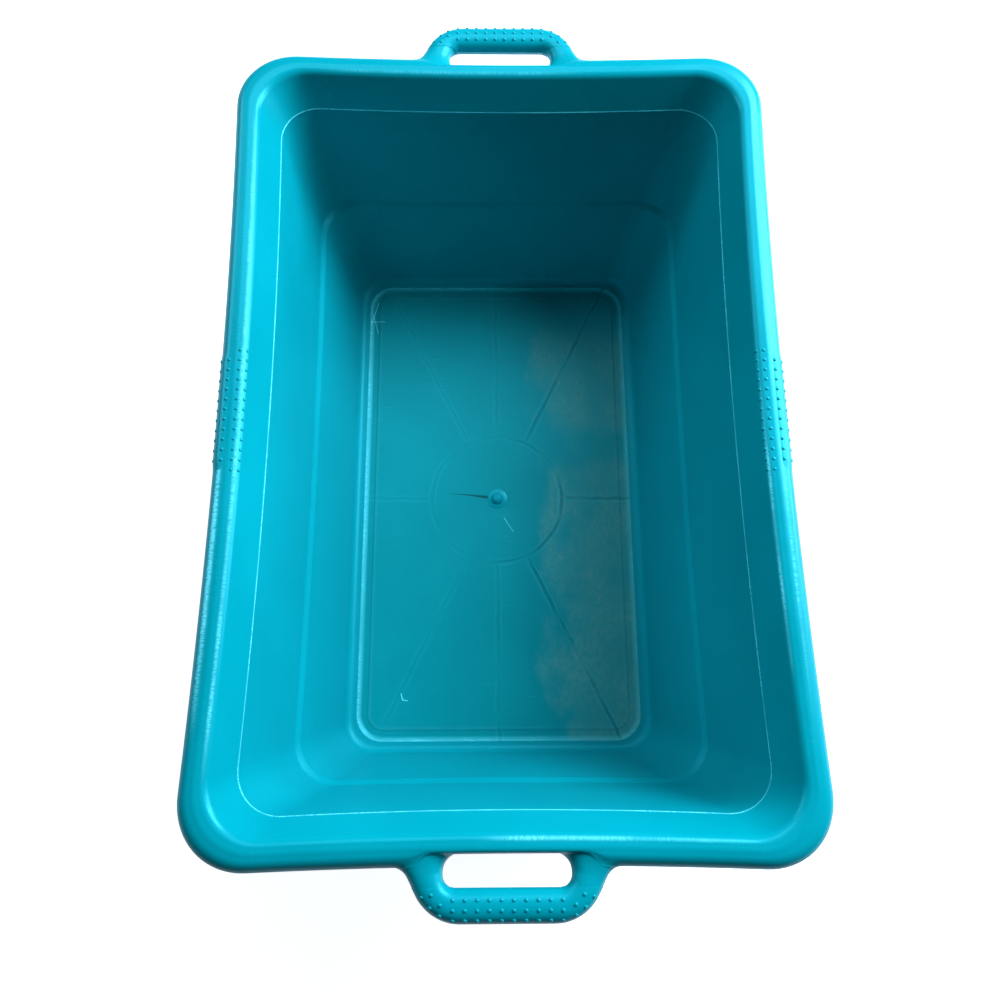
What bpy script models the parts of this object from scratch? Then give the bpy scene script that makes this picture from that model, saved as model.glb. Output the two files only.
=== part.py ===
"""Rectangular handled tub of about 80 litres, moulded from one plastic.

The real tub is one moulding. It is modelled here as the regions that its own
lines mark out: the rolled rim, two wall courses, the floor, the foot, the ribs
below, the end handles and the side grips. Metres, +Z up, the tub stands on Z = 0,
its length runs along Y and its front handle is at -Y.
"""

from collections import namedtuple
from math import atan2, ceil, copysign, cos, pi, radians, sin, tan

import bmesh
import bpy
from mathutils import Matrix, Vector

# Overall sizes
RIM_WIDTH = 0.540
RIM_LENGTH = 0.784
TUB_HEIGHT = 0.325
SIDE_BOW = 0.0093
END_BOW = 0.0068

# Thicknesses, and the clearance between neighbours
WALL = 0.0025
CLEARANCE = 0.0003

# Rim section, measured inwards from the widest line of the rim and down from its top
DOME_RISE = 0.0135
SKIRT_DROP = 0.024
SKIRT_TUCK = 0.003
DOME_LEAN = 0.0015
RIM_BAND = 0.0245
RIM_INSET = 0.0415
RIM_FALL = 0.0368
SKIRT_ROUND = 0.024
OUTER_ROUND = 0.0115
INNER_ROUND = 0.009

# Wall section
UPPER_RUN = 0.022
STEP_LEVEL = 0.1455
STEP_RUN = 0.005
STEP_FALL = 0.006
STEP_ROUND = 0.004
LOWER_RUN = 0.0288
LEDGE_LEVEL = 0.0112
LEDGE_RUN = 0.0105
LEDGE_ROUND = 0.005

# Floor section
LIP_RUN = 0.0008
LIP_ROUND = 0.0025
CHANNEL_LEVEL = 0.0088
CHANNEL_SLOPE_RUN = 0.005
CHANNEL_RUN = 0.006
FLOOR_LEVEL = 0.0095
FLOOR_RISE_RUN = 0.0018
FLOOR_THICKNESS = 0.003

# Plan corner radii
RIM_CORNER = 0.062
WITNESS_CORNER = 0.042
STEP_CORNER = 0.044
FLOOR_CORNER = 0.030

# Foot and ribs under the floor
FOOT_WIDTH = 0.006
RIB_THICKNESS = 0.003
RIB_RING_RADIUS = 0.079
RIB_GROUND_GAP = 0.0015
STRAIGHT_RIB_ANGLES = (0, pi / 2, pi, 3 * pi / 2)

# Gate nub on the floor
NUB_BASE_RADIUS = 0.012
NUB_BASE_HEIGHT = 0.001
NUB_CAP_RADIUS = 0.0073
NUB_CAP_HEIGHT = 0.0045

# End handles
HOLE_WIDTH = 0.104
HAND_GAP = 0.026
RIM_RECESS = 0.0097
RECESS_HALF_WIDTH = 0.062
RECESS_FADE = 0.016
BAR_WIDTH = 0.0262
BAR_THICKNESS = 0.0205
BAR_DROP = 0.0145
BAR_SQUARENESS = 2.3
ROOT_HALF_WIDTH = 0.0841
CORNER_HALF_WIDTH = 0.0618
ROOT_TOP_DROP = 0.0065
ROOT_BOTTOM_DROP = 0.0355
HOLE_ROOT_ROUND = 0.014
HOLE_BAR_ROUND = 0.0105
ROOT_FLARE_ROUND = 0.015
BAR_CORNER_ROUND = 0.040
FLARE_SINK = 0.0015
ROOT_BURY = 0.012
ROOT_SQUARENESS = 3
WITNESS_SETBACK = 0.0008

# Side grips on the long rims
GRIP_LENGTH = 0.117
GRIP_THICKNESS = 0.0013

# Resolution
ARC_STEP = radians(24)
CORNER_STEPS = 6
SIDE_STEPS = 8
BAR_SIDES = 16
GRIP_STEPS = 12

# Material: colour, roughness, metallic
TUB_COLOUR = (0.000, 0.270, 0.360, 1.0)
HANDLE_COLOUR = (0.000, 0.310, 0.400, 1.0)
UNDERSIDE_COLOUR = (0.000, 0.220, 0.300, 1.0)
PLASTIC_ROUGHNESS = 0.38

Corner = namedtuple("Corner", "name inset height radius")
Station = namedtuple("Station", "name inset height normal back corner bow recess")


def clear_scene():
    """Remove every object that the file starts with."""
    for item in list(bpy.data.objects):
        bpy.data.objects.remove(item, do_unlink=True)


def new_collection(name):
    """Make a collection in the scene."""
    collection = bpy.data.collections.new(name)
    bpy.context.scene.collection.children.link(collection)
    return collection


def plastic(name, colour):
    """Principled material of one region of the moulding."""
    material = bpy.data.materials.new(name)
    material.use_nodes = True
    shader = material.node_tree.nodes["Principled BSDF"]
    shader.inputs["Base Color"].default_value = colour
    shader.inputs["Roughness"].default_value = PLASTIC_ROUGHNESS
    shader.inputs["Metallic"].default_value = 0.0
    return material


def place(name, mesh, collection, colour):
    """Put a mesh in its collection as a named, coloured, smooth-shaded object."""
    mesh.shade_smooth()
    mesh.set_sharp_from_angle(angle=radians(35))
    mesh.materials.append(plastic(name + "_plastic", colour))
    item = bpy.data.objects.new(name, mesh)
    collection.objects.link(item)
    return item


def loft_mesh(name, rings, closed_along):
    """Closed mesh through rings of equal count, capped at both ends or closed on itself."""
    shape = bmesh.new()
    loops = [[shape.verts.new(point) for point in ring] for ring in rings]
    count = len(rings[0])
    spans = len(loops) if closed_along else len(loops) - 1
    for row in range(spans):
        near, far = loops[row], loops[(row + 1) % len(loops)]
        for column in range(count):
            step = (column + 1) % count
            shape.faces.new((near[column], near[step], far[step], far[column]))
    if not closed_along:
        shape.faces.new(list(reversed(loops[0])))
        shape.faces.new(loops[-1])
    bmesh.ops.recalc_face_normals(shape, faces=shape.faces)
    bmesh.ops.triangulate(shape, faces=shape.faces, quad_method="FIXED")
    mesh = bpy.data.meshes.new(name)
    shape.to_mesh(mesh)
    shape.free()
    return mesh


def turned(direction):
    """The direction a quarter turn anticlockwise, which is the air side of a section line."""
    return Vector((-direction.y, direction.x))


def between(low_x, low_y, high_x, high_y, x):
    """Straight-line value at x between two pairs."""
    return low_y + (high_y - low_y) * (x - low_x) / (high_x - low_x)


def section_corners():
    """Corners of the visible section line, from the foot of the skirt to the floor."""
    contour = TUB_HEIGHT - DOME_RISE
    step_top = RIM_INSET + UPPER_RUN
    step_foot = step_top + STEP_RUN
    ledge = step_foot + LOWER_RUN
    edge = ledge + LEDGE_RUN
    lip = edge + LIP_RUN
    channel = lip + CHANNEL_SLOPE_RUN
    rise = channel + CHANNEL_RUN
    return [
        Corner("foot", SKIRT_TUCK, contour - SKIRT_DROP, 0),
        Corner("contour", 0, contour, SKIRT_ROUND),
        Corner("outer", DOME_LEAN, TUB_HEIGHT, OUTER_ROUND),
        Corner("inner", RIM_BAND, TUB_HEIGHT, INNER_ROUND),
        Corner("witness", RIM_INSET, TUB_HEIGHT - RIM_FALL, 0),
        Corner("step_top", step_top, STEP_LEVEL + STEP_FALL / 2, STEP_ROUND),
        Corner("step", step_top + STEP_RUN / 2, STEP_LEVEL, 0),
        Corner("step_foot", step_foot, STEP_LEVEL - STEP_FALL / 2, STEP_ROUND),
        Corner("ledge", ledge, LEDGE_LEVEL, LEDGE_ROUND),
        Corner("edge", edge, LEDGE_LEVEL, 0),
        Corner("lip", lip, LEDGE_LEVEL, LIP_ROUND),
        Corner("channel", channel, CHANNEL_LEVEL, 0),
        Corner("rise", rise, CHANNEL_LEVEL, 0),
        Corner("floor", rise + FLOOR_RISE_RUN, FLOOR_LEVEL, 0),
    ]


CORNERS = {corner.name: corner for corner in section_corners()}


def plan_corner(inset):
    """Plan corner radius of the visible line at an inset."""
    witness = CORNERS["witness"].inset
    step = CORNERS["step"].inset
    edge = CORNERS["edge"].inset
    if inset <= witness:
        return between(0, RIM_CORNER, witness, WITNESS_CORNER, inset)
    if inset <= step:
        return between(witness, WITNESS_CORNER, step, STEP_CORNER, inset)
    if inset <= edge:
        return between(step, STEP_CORNER, edge, FLOOR_CORNER, inset)
    return FLOOR_CORNER - (inset - edge)


def recess_share(inset):
    """How far a line follows the hand recess: 1 at the skirt, 0 from the flat of the dome."""
    reach = DOME_LEAN + OUTER_ROUND
    return min(1, max(0, 1 - inset / reach))


def station(name, point, normal, miter):
    """A place on the visible line, with the distance back to the hidden face."""
    bow = point.y / (TUB_HEIGHT - DOME_RISE)
    corner = plan_corner(point.x)
    return Station(name, point.x, point.y, normal, WALL * miter, corner, bow, recess_share(point.x))


def rounded_corner(corner, before, after):
    """Stations round one corner of the section line."""
    here = Vector((corner.inset, corner.height))
    arrive = (here - Vector((before.inset, before.height))).normalized()
    leave = (Vector((after.inset, after.height)) - here).normalized()
    turn = atan2(arrive.x * leave.y - arrive.y * leave.x, arrive.dot(leave))
    if corner.radius == 0:
        normal = turned((arrive + leave).normalized())
        return [station(corner.name, here, normal, 1 / cos(turn / 2))]
    side = copysign(corner.radius, turn)
    start = here - arrive * corner.radius * tan(abs(turn) / 2)
    centre = start + turned(arrive) * side
    steps = max(1, ceil(abs(turn) / ARC_STEP))
    places = []
    for step in range(steps + 1):
        angle = turn * step / steps
        direction = Vector((arrive.x * cos(angle) - arrive.y * sin(angle),
                            arrive.x * sin(angle) + arrive.y * cos(angle)))
        normal = turned(direction)
        places.append(station(corner.name, centre - normal * side, normal, 1))
    return places


def visible_line():
    """Stations of the whole visible line, from the foot of the skirt to the floor."""
    corners = section_corners()
    first, last = corners[0], corners[-1]
    rise = Vector((corners[1].inset - first.inset, corners[1].height - first.height)).normalized()
    places = [station(first.name, Vector((first.inset, first.height)), turned(rise), 1)]
    for before, here, after in zip(corners, corners[1:], corners[2:]):
        places += rounded_corner(here, before, after)
    places.append(station(last.name, Vector((last.inset, last.height)), Vector((0, 1)), 1))
    return places


def shifted(place, outwards=0.0, along=0.0):
    """The station moved towards the air, and along the section line."""
    tangent = Vector((place.normal.y, -place.normal.x))
    move = place.normal * outwards + tangent * along
    inset = place.inset + move.x
    corner = place.corner + (place.inset - inset)
    return place._replace(inset=inset, height=place.height + move.y, corner=corner)


def stretch(line, start, end):
    """The stations of the line from one named corner to another."""
    names = [place.name for place in line]
    return line[names.index(start):len(names) - names[::-1].index(end)]


def shell_section(line, trim_start, trim_end):
    """Closed section of a shell: the visible line, then the hidden one back again."""
    half = CLEARANCE / 2
    front = list(line)
    if trim_start:
        front[0] = shifted(front[0], along=half)
    if trim_end:
        front[-1] = shifted(front[-1], along=-half)
    back = [shifted(place, outwards=-place.back) for place in reversed(front)]
    return front + back


def end_places(straight):
    """Places across a short side, from +X to -X, that carry the hand recess."""
    fade = RECESS_HALF_WIDTH + RECESS_FADE
    side = [(straight + fade) / 2, fade, RECESS_HALF_WIDTH, RECESS_HALF_WIDTH / 2]
    return side + [0.0] + [-x for x in reversed(side)]


def recess_depth(x, share):
    """Depth of the hand recess at a place across a short side."""
    beyond = (abs(x) - RECESS_HALF_WIDTH) / RECESS_FADE
    return RIM_RECESS * share * min(1, max(0, 1 - beyond))


def plan_ring(place):
    """Points of one ring of the tub, anticlockwise from its +X side."""
    half_width = RIM_WIDTH / 2 - place.inset
    half_length = RIM_LENGTH / 2 - place.inset
    radius = place.corner
    side = half_length - radius
    end = half_width - radius
    outline = [(half_width, side * (2 * step / SIDE_STEPS - 1)) for step in range(1, SIDE_STEPS)]
    outline += corner_points(end, side, radius, 0)
    outline += [(x, half_length - recess_depth(x, place.recess)) for x in end_places(end)]
    outline += corner_points(-end, side, radius, pi / 2)
    outline += [(-x, -y) for x, y in outline]
    return [bowed(x, y, half_width, half_length, place) for x, y in outline]


def corner_points(x, y, radius, start):
    """Points round one plan corner."""
    angles = [start + pi / 2 * step / CORNER_STEPS for step in range(CORNER_STEPS + 1)]
    return [(x + radius * cos(angle), y + radius * sin(angle)) for angle in angles]


def bowed(x, y, half_width, half_length, place):
    """A plan point drawn in by the bow of the long and short sides."""
    side = SIDE_BOW * place.bow * (1 - (y / half_length) ** 2)
    end = END_BOW * place.bow * (1 - (x / half_width) ** 2)
    return Vector((x * (1 - side / half_width), y * (1 - end / half_length), place.height))


def add_ring_shell(name, places, collection, colour=TUB_COLOUR):
    """A closed shell that runs all round the tub."""
    rings = [plan_ring(place) for place in places]
    return place_loft(name, rings, True, collection, colour)


def place_loft(name, rings, closed_along, collection, colour):
    """Loft the rings and place the result."""
    return place(name, loft_mesh(name, rings, closed_along), collection, colour)


def add_floor(line, collection):
    """Floor with its lip and channel, capped above and below."""
    front = stretch(line, "edge", "floor")
    front[0] = shifted(front[0], along=CLEARANCE / 2)
    underside = CHANNEL_LEVEL - FLOOR_THICKNESS
    start = shifted(front[0], outwards=-WALL)
    foot = CORNERS["channel"]
    below = [start]
    for inset in (foot.inset, CORNERS["floor"].inset):
        corner = plan_corner(inset)
        below.append(start._replace(inset=inset, height=underside, corner=corner))
    rings = [plan_ring(place) for place in reversed(front)] + [plan_ring(place) for place in below]
    return place_loft("floor_pan", rings, False, collection, TUB_COLOUR)


def foot_station(inset, height):
    """A station of the foot, which follows the floor's plan."""
    return Station("foot", inset, height, Vector((0, 1)), WALL, plan_corner(inset), 0, 0)


def add_foot(collection):
    """Standing ring below the floor's channel."""
    outer = CORNERS["channel"].inset
    inner = outer + FOOT_WIDTH
    top = CHANNEL_LEVEL - FLOOR_THICKNESS - CLEARANCE
    places = [foot_station(outer, 0), foot_station(inner, 0),
              foot_station(inner, top), foot_station(outer, top)]
    return add_ring_shell("foot_ring", places, collection, UNDERSIDE_COLOUR)


def add_box(name, size, location, turn, collection):
    """A box of a size, turned about Z and placed."""
    shape = bmesh.new()
    bmesh.ops.create_cube(shape, size=1, matrix=Matrix.Diagonal((*size, 1)))
    matrix = Matrix.Translation(location) @ Matrix.Rotation(turn, 4, "Z")
    bmesh.ops.transform(shape, matrix=matrix, verts=shape.verts)
    mesh = bpy.data.meshes.new(name)
    shape.to_mesh(mesh)
    shape.free()
    item = bpy.data.objects.new(name, mesh)
    collection.objects.link(item)
    return item


def circle(radius, height):
    """Points of a level circle."""
    count = 4 * SIDE_STEPS
    angles = [2 * pi * step / count for step in range(count)]
    return [Vector((radius * cos(angle), radius * sin(angle), height)) for angle in angles]


def hide_helper(item):
    """Show a cutter or a joined helper as a wire that never renders."""
    item.hide_render = True
    item.display_type = "WIRE"


def boolean(item, other, operation):
    """Cut or join with the exact solver."""
    modifier = item.modifiers.new(operation.lower() + "_" + other.name, "BOOLEAN")
    modifier.operation = operation
    modifier.solver = "EXACT"
    modifier.object = other


def rib_reach(turn):
    """Distance from the centre to the inner face of the foot, along a rib."""
    inner = CORNERS["channel"].inset + FOOT_WIDTH + CLEARANCE
    half_width = RIM_WIDTH / 2 - inner
    half_length = RIM_LENGTH / 2 - inner
    radius = plan_corner(inner)
    run = Vector((abs(cos(turn)), abs(sin(turn))))
    margin = RIB_THICKNESS / 2
    reach = min(half_width / max(run.x, margin), half_length / max(run.y, margin))
    centre = Vector((half_width - radius, half_length - radius))
    if run.x * reach > centre.x and run.y * reach > centre.y:
        across = run.x * centre.y - run.y * centre.x
        offset = (radius ** 2 - (abs(across) + margin) ** 2) ** 0.5
        reach = run.dot(centre) + offset
    return reach


def add_base_ribs(collection, cutters):
    """Ring and eight spokes under the floor, joined into one body."""
    top = CHANNEL_LEVEL - FLOOR_THICKNESS - CLEARANCE
    height = top - RIB_GROUND_GAP
    middle = RIB_GROUND_GAP + height / 2
    inner = RIB_RING_RADIUS - RIB_THICKNESS / 2
    outer = RIB_RING_RADIUS + RIB_THICKNESS / 2
    rings = [circle(inner, RIB_GROUND_GAP), circle(outer, RIB_GROUND_GAP),
             circle(outer, top), circle(inner, top)]
    ribs = place_loft("base_ribs", rings, True, collection, UNDERSIDE_COLOUR)
    floor = CORNERS["floor"].inset
    diagonal = atan2(RIM_LENGTH / 2 - floor - FLOOR_CORNER, RIM_WIDTH / 2 - floor - FLOOR_CORNER)
    diagonals = (diagonal, pi - diagonal, pi + diagonal, -diagonal)
    for number, turn in enumerate(STRAIGHT_RIB_ANGLES + diagonals, start=1):
        reach = rib_reach(turn)
        length = reach - RIB_RING_RADIUS
        centre = (RIB_RING_RADIUS + reach) / 2
        location = (centre * cos(turn), centre * sin(turn), middle)
        size = (length, RIB_THICKNESS, height)
        spoke = add_box("spoke_" + str(number), size, location, turn, cutters)
        hide_helper(spoke)
        boolean(ribs, spoke, "UNION")
    return ribs


def add_gate_nub(collection):
    """Small domed gate mark in the middle of the floor, turned about Z."""
    base = FLOOR_LEVEL + CLEARANCE
    shoulder = base + NUB_BASE_HEIGHT
    quarter = [pi / 2 * step / SIDE_STEPS for step in range(SIDE_STEPS + 1)]
    outline = [(NUB_CAP_RADIUS * sin(angle), shoulder + NUB_CAP_HEIGHT * cos(angle)) for angle in quarter]
    outline += [(NUB_BASE_RADIUS, shoulder), (NUB_BASE_RADIUS, base), (0, base)]
    shape = bmesh.new()
    points = [shape.verts.new((x, 0, z)) for x, z in outline]
    for first, second in zip(points, points[1:]):
        shape.edges.new((first, second))
    mesh = bpy.data.meshes.new("gate_nub")
    shape.to_mesh(mesh)
    shape.free()
    nub = place("gate_nub", mesh, collection, TUB_COLOUR)
    screw = nub.modifiers.new("turn", "SCREW")
    screw.steps = 3 * SIDE_STEPS
    screw.render_steps = 3 * SIDE_STEPS
    screw.use_merge_vertices = True
    screw.merge_threshold = WALL / 300
    return nub


def rim_line_at(x):
    """Distance from the middle of the tub to the widest line of an end, at a place across it."""
    half_width = RIM_WIDTH / 2
    return RIM_LENGTH / 2 - END_BOW * (1 - (x / half_width) ** 2)


def rounded_path(points, radii, arc_steps, line_steps):
    """Plan path from where its first rounded corner starts, with a set count of points on each stretch."""
    start, first, second, end = [Vector(point) for point in points]
    path = []
    for before, here, after, radius in ((start, first, second, radii[0]), (first, second, end, radii[1])):
        arrive = (here - before).normalized()
        leave = (after - here).normalized()
        turn = atan2(arrive.x * leave.y - arrive.y * leave.x, arrive.dot(leave))
        tangent = radius * tan(abs(turn) / 2)
        side = copysign(radius, turn)
        centre = here - arrive * tangent + turned(arrive) * side
        arc = []
        for step in range(arc_steps + 1):
            angle = turn * step / arc_steps
            direction = Vector((arrive.x * cos(angle) - arrive.y * sin(angle),
                                arrive.x * sin(angle) + arrive.y * cos(angle)))
            arc.append(centre - turned(direction) * side)
        if path:
            path += line_between(path[-1], arc[0], line_steps)
        path += arc
    return path + line_between(path[-1], end, line_steps) + [end]


def line_between(start, end, steps):
    """Points strictly between two ends."""
    return [start.lerp(end, step / steps) for step in range(1, steps)]


def squared(value, squareness):
    """A sine or cosine drawn out towards the corners of its box."""
    return copysign(abs(value) ** (2 / squareness), value)


def bar_section(inner, outer, top, bottom, squareness, side):
    """Section of the handle that stands on the chord from its inner to its outer edge."""
    centre = (inner + outer) / 2
    half = (outer - inner) / 2
    middle = (top + bottom) / 2
    ring = []
    for step in range(BAR_SIDES):
        angle = 2 * pi * step / BAR_SIDES
        plan = centre + half * squared(cos(angle), squareness)
        height = middle + (top - bottom) / 2 * squared(sin(angle), squareness)
        ring.append(Vector((plan.x, side * plan.y, height)))
    return ring


def handle_half(side):
    """Sections of half a handle, from its buried root at +X to the middle of its bar."""
    recess = rim_line_at(0) - RIM_RECESS
    bar_inner = recess + HAND_GAP
    bar_outer = bar_inner + BAR_WIDTH
    root = rim_line_at(ROOT_HALF_WIDTH) - FLARE_SINK
    hole = HOLE_WIDTH / 2
    inner_points = ((hole - 2 * HOLE_ROOT_ROUND, recess - FLARE_SINK), (hole, recess - FLARE_SINK),
                    (hole, bar_inner), (0, bar_inner))
    flare = ROOT_HALF_WIDTH + ROOT_FLARE_ROUND
    outer_points = ((flare, root), (ROOT_HALF_WIDTH, root), (CORNER_HALF_WIDTH, bar_outer), (0, bar_outer))
    inner = rounded_path(inner_points, (HOLE_ROOT_ROUND, HOLE_BAR_ROUND), 4, 3)
    outer = rounded_path(outer_points, (ROOT_FLARE_ROUND, BAR_CORNER_ROUND), 4, 3)
    bar_top = TUB_HEIGHT - BAR_DROP + BAR_THICKNESS / 2
    bar_bottom = bar_top - BAR_THICKNESS
    root_top = TUB_HEIGHT - ROOT_TOP_DROP
    root_bottom = TUB_HEIGHT - ROOT_BOTTOM_DROP
    buried = Vector((0, ROOT_BURY))
    sections = [bar_section(inner[0] - buried, outer[0] - buried, root_top, root_bottom, ROOT_SQUARENESS, side)]
    for near, far in zip(inner, outer):
        share = min(1, max(0, ((near.y + far.y) / 2 - root) / (bar_inner - root)))
        blend = share * share * (3 - 2 * share)
        top = root_top + (bar_top - root_top) * blend
        bottom = root_bottom + (bar_bottom - root_bottom) * blend
        squareness = ROOT_SQUARENESS + (BAR_SQUARENESS - ROOT_SQUARENESS) * blend
        sections.append(bar_section(near, far, top, bottom, squareness, side))
    return sections


def handle_mesh(name, side):
    """Whole handle, both arms and bar, as one closed mesh."""
    half = handle_half(side)
    other = [[Vector((-point.x, point.y, point.z)) for point in ring] for ring in reversed(half[:-1])]
    return loft_mesh(name, half + other, False)


def keep_side(mesh, point, normal):
    """Cut a closed mesh by a plane and keep what lies behind the normal."""
    shape = bmesh.new()
    shape.from_mesh(mesh)
    parts = shape.verts[:] + shape.edges[:] + shape.faces[:]
    cut = bmesh.ops.bisect_plane(shape, geom=parts, plane_co=point, plane_no=normal, clear_outer=True)
    edges = [part for part in cut["geom_cut"] if isinstance(part, bmesh.types.BMEdge)]
    bmesh.ops.holes_fill(shape, edges=edges)
    bmesh.ops.recalc_face_normals(shape, faces=shape.faces)
    shape.to_mesh(mesh)
    shape.free()
    return mesh


def add_handle(end, side, rim_space, collection):
    """One end handle: a dotted grip and the two arms that carry it."""
    line = rim_line_at(0) - RIM_RECESS + HAND_GAP - WITNESS_SETBACK
    outward = Vector((0, side, 0))
    half = CLEARANCE / 2
    grip = keep_side(handle_mesh(end + "_handle_grip", side), outward * (line + half), -outward)
    place(end + "_handle_grip", grip, collection, HANDLE_COLOUR)
    for hand, across in (("left", -1), ("right", 1)):
        name = end + "_handle_" + hand + "_arm"
        mesh = keep_side(handle_mesh(name, side), outward * (line - half), outward)
        mesh = keep_side(mesh, Vector((0, 0, 0)), Vector((-across, 0, 0)))
        arm = place(name, mesh, collection, HANDLE_COLOUR)
        boolean(arm, rim_space, "DIFFERENCE")


def add_rim_space(line, cutters):
    """Solid cutter that fills the rim's section and stands the clearance proud of it."""
    places = [shifted(place, outwards=CLEARANCE) for place in stretch(line, "foot", "witness")]
    rings = [plan_ring(place) for place in places]
    mesh = loft_mesh("rim_space", rings, True)
    cutter = bpy.data.objects.new("rim_space", mesh)
    cutters.objects.link(cutter)
    hide_helper(cutter)
    return cutter


def rim_point(place, y, side):
    """Point of a long side of the rim at a distance along it."""
    half_width = RIM_WIDTH / 2 - place.inset
    half_length = RIM_LENGTH / 2 - place.inset
    point = bowed(half_width, y, half_width, half_length, place)
    return Vector((side * point.x, y, point.z))


def add_side_grip(name, side, line, collection):
    """Textured pad that wraps the middle of a long rim, as an open surface with a thickness."""
    places = [shifted(place, outwards=CLEARANCE) for place in stretch(line, "foot", "inner")]
    shape = bmesh.new()
    rows = []
    for step in range(GRIP_STEPS + 1):
        y = GRIP_LENGTH * (step / GRIP_STEPS - 1 / 2)
        rows.append([shape.verts.new(rim_point(place, y, side)) for place in places])
    for near, far in zip(rows, rows[1:]):
        for first in range(len(places) - 1):
            corners = (near[first], near[first + 1], far[first + 1], far[first])
            shape.faces.new(corners if side > 0 else tuple(reversed(corners)))
    bmesh.ops.recalc_face_normals(shape, faces=shape.faces)
    outward = sum((face.normal.x * side for face in shape.faces))
    if outward < 0:
        bmesh.ops.reverse_faces(shape, faces=shape.faces)
    mesh = bpy.data.meshes.new(name)
    shape.to_mesh(mesh)
    shape.free()
    grip = place(name, mesh, collection, HANDLE_COLOUR)
    solid = grip.modifiers.new("thickness", "SOLIDIFY")
    solid.thickness = GRIP_THICKNESS
    solid.offset = 1
    return grip


def main():
    """Build every region of the tub."""
    clear_scene()
    tub = new_collection("handled_tub")
    cutters = new_collection("cutters")
    line = visible_line()
    add_ring_shell("rim", shell_section(stretch(line, "foot", "witness"), False, True), tub)
    add_ring_shell("upper_wall", shell_section(stretch(line, "witness", "step"), True, True), tub)
    add_ring_shell("lower_wall", shell_section(stretch(line, "step", "edge"), True, True), tub)
    add_floor(line, tub)
    add_foot(tub)
    add_base_ribs(tub, cutters)
    add_gate_nub(tub)
    rim_space = add_rim_space(line, cutters)
    add_handle("front", -1, rim_space, tub)
    add_handle("back", 1, rim_space, tub)
    add_side_grip("left_side_grip", -1, line, tub)
    add_side_grip("right_side_grip", 1, line, tub)


main()
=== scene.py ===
from collections import namedtuple
from math import atan2, ceil, copysign, cos, pi, radians, sin, tan

import bmesh
import bpy
from mathutils import Matrix, Vector


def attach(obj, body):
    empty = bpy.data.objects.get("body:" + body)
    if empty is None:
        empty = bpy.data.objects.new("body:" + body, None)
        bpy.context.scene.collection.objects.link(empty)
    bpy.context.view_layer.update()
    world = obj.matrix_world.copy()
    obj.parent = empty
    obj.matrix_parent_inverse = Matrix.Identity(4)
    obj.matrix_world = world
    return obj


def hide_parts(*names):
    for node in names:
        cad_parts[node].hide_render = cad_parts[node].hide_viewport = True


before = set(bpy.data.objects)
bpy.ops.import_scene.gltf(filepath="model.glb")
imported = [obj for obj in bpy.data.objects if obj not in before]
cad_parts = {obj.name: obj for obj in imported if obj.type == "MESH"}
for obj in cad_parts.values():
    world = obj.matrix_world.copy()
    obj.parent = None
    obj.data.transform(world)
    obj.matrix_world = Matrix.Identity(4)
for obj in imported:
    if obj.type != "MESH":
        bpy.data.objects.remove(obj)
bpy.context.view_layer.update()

bl_info = {
    "name": "Handled tub",
    "version": (1, 0, 0),
    "blender": (4, 5, 0),
    "location": "View3D > Sidebar > Tub",
    "description": "Builds a moulded tub with end handles and dotted grips, with its finishes and stage",
    "category": "Add Mesh",
}

BODY = "root"
MILLIMETRE = 0.001

# Rim section, inwards from the widest line of the rim
DOME_RISE = 0.0135
SKIRT_DROP = 0.024
SKIRT_TUCK = 0.003
DOME_LEAN = 0.0015
RIM_BAND = 0.0245
RIM_INSET = 0.0415
RIM_FALL = 0.0368
DOME_CROWN = 0.0004
SKIRT_ROUND = 0.024
OUTER_ROUND = 0.0115
INNER_ROUND = 0.009

# Wall and floor section
UPPER_RUN = 0.022
STEP_LEVEL = 0.1455
STEP_RUN = 0.005
STEP_FALL = 0.006
STEP_ROUND = 0.005
LOWER_RUN = 0.0288
LEDGE_LEVEL = 0.0112
LEDGE_RUN = 0.0105
LEDGE_ROUND = 0.009
LIP_RUN = 0.0008
LIP_ROUND = 0.0025
CHANNEL_LEVEL = 0.0088
CHANNEL_SLOPE_RUN = 0.0050
CHANNEL_RUN = 0.0060
CHANNEL_ROUND = 0.0025
FLOOR_LEVEL = 0.0095
FLOOR_RISE_RUN = 0.0018
FLOOR_RISE_ROUND = 0.0018
FLOOR_THICKNESS = 0.003
WITNESS_RIDGE_WIDTH = 0.0016
WITNESS_RIDGE_HEIGHT = 0.0007

# Wear and painted highlights of the moulding: lines that are rubbed all round, where the ridge is worn and
# the lip and crest carry painted highlights, and streaks on one side of the rim, the outer ones painted
# highlights and the inner ones painted highlights over rubbed scuffs
LINE_WEAR_AND_HIGHLIGHT = {"ridge": 1.6, "lip": 0.55, "crest": 0.08}
Streak = namedtuple("Streak", "line middle spread depth side start end fade")
# A point is on a streak's side of the rim from this share of the way out
STREAK_SIDE_SHARE = 0.93
SCUFF_AND_HIGHLIGHT_STREAKS = (
    Streak("outer", 0.74, 0.22, 2.60, "left", -0.30, 0.00, 0.14),
    Streak("inner", 0.30, 0.26, 0.75, "left", -0.33, 0.33, 0.05),
    Streak("outer", 1.00, 0.26, 0.60, "right", -0.30, 0.20, 0.10),
    Streak("inner", 0.52, 0.19, 0.95, "right", -0.25, 0.03, 0.06),
    Streak("inner", 0.30, 0.26, 1.40, "front", -0.03, 0.12, 0.05),
    Streak("inner", 0.30, 0.20, 0.50, "front", 0.08, 0.20, 0.05),
    Streak("inner", 0.30, 0.24, 0.35, "back", -0.20, 0.10, 0.08),
)
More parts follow.
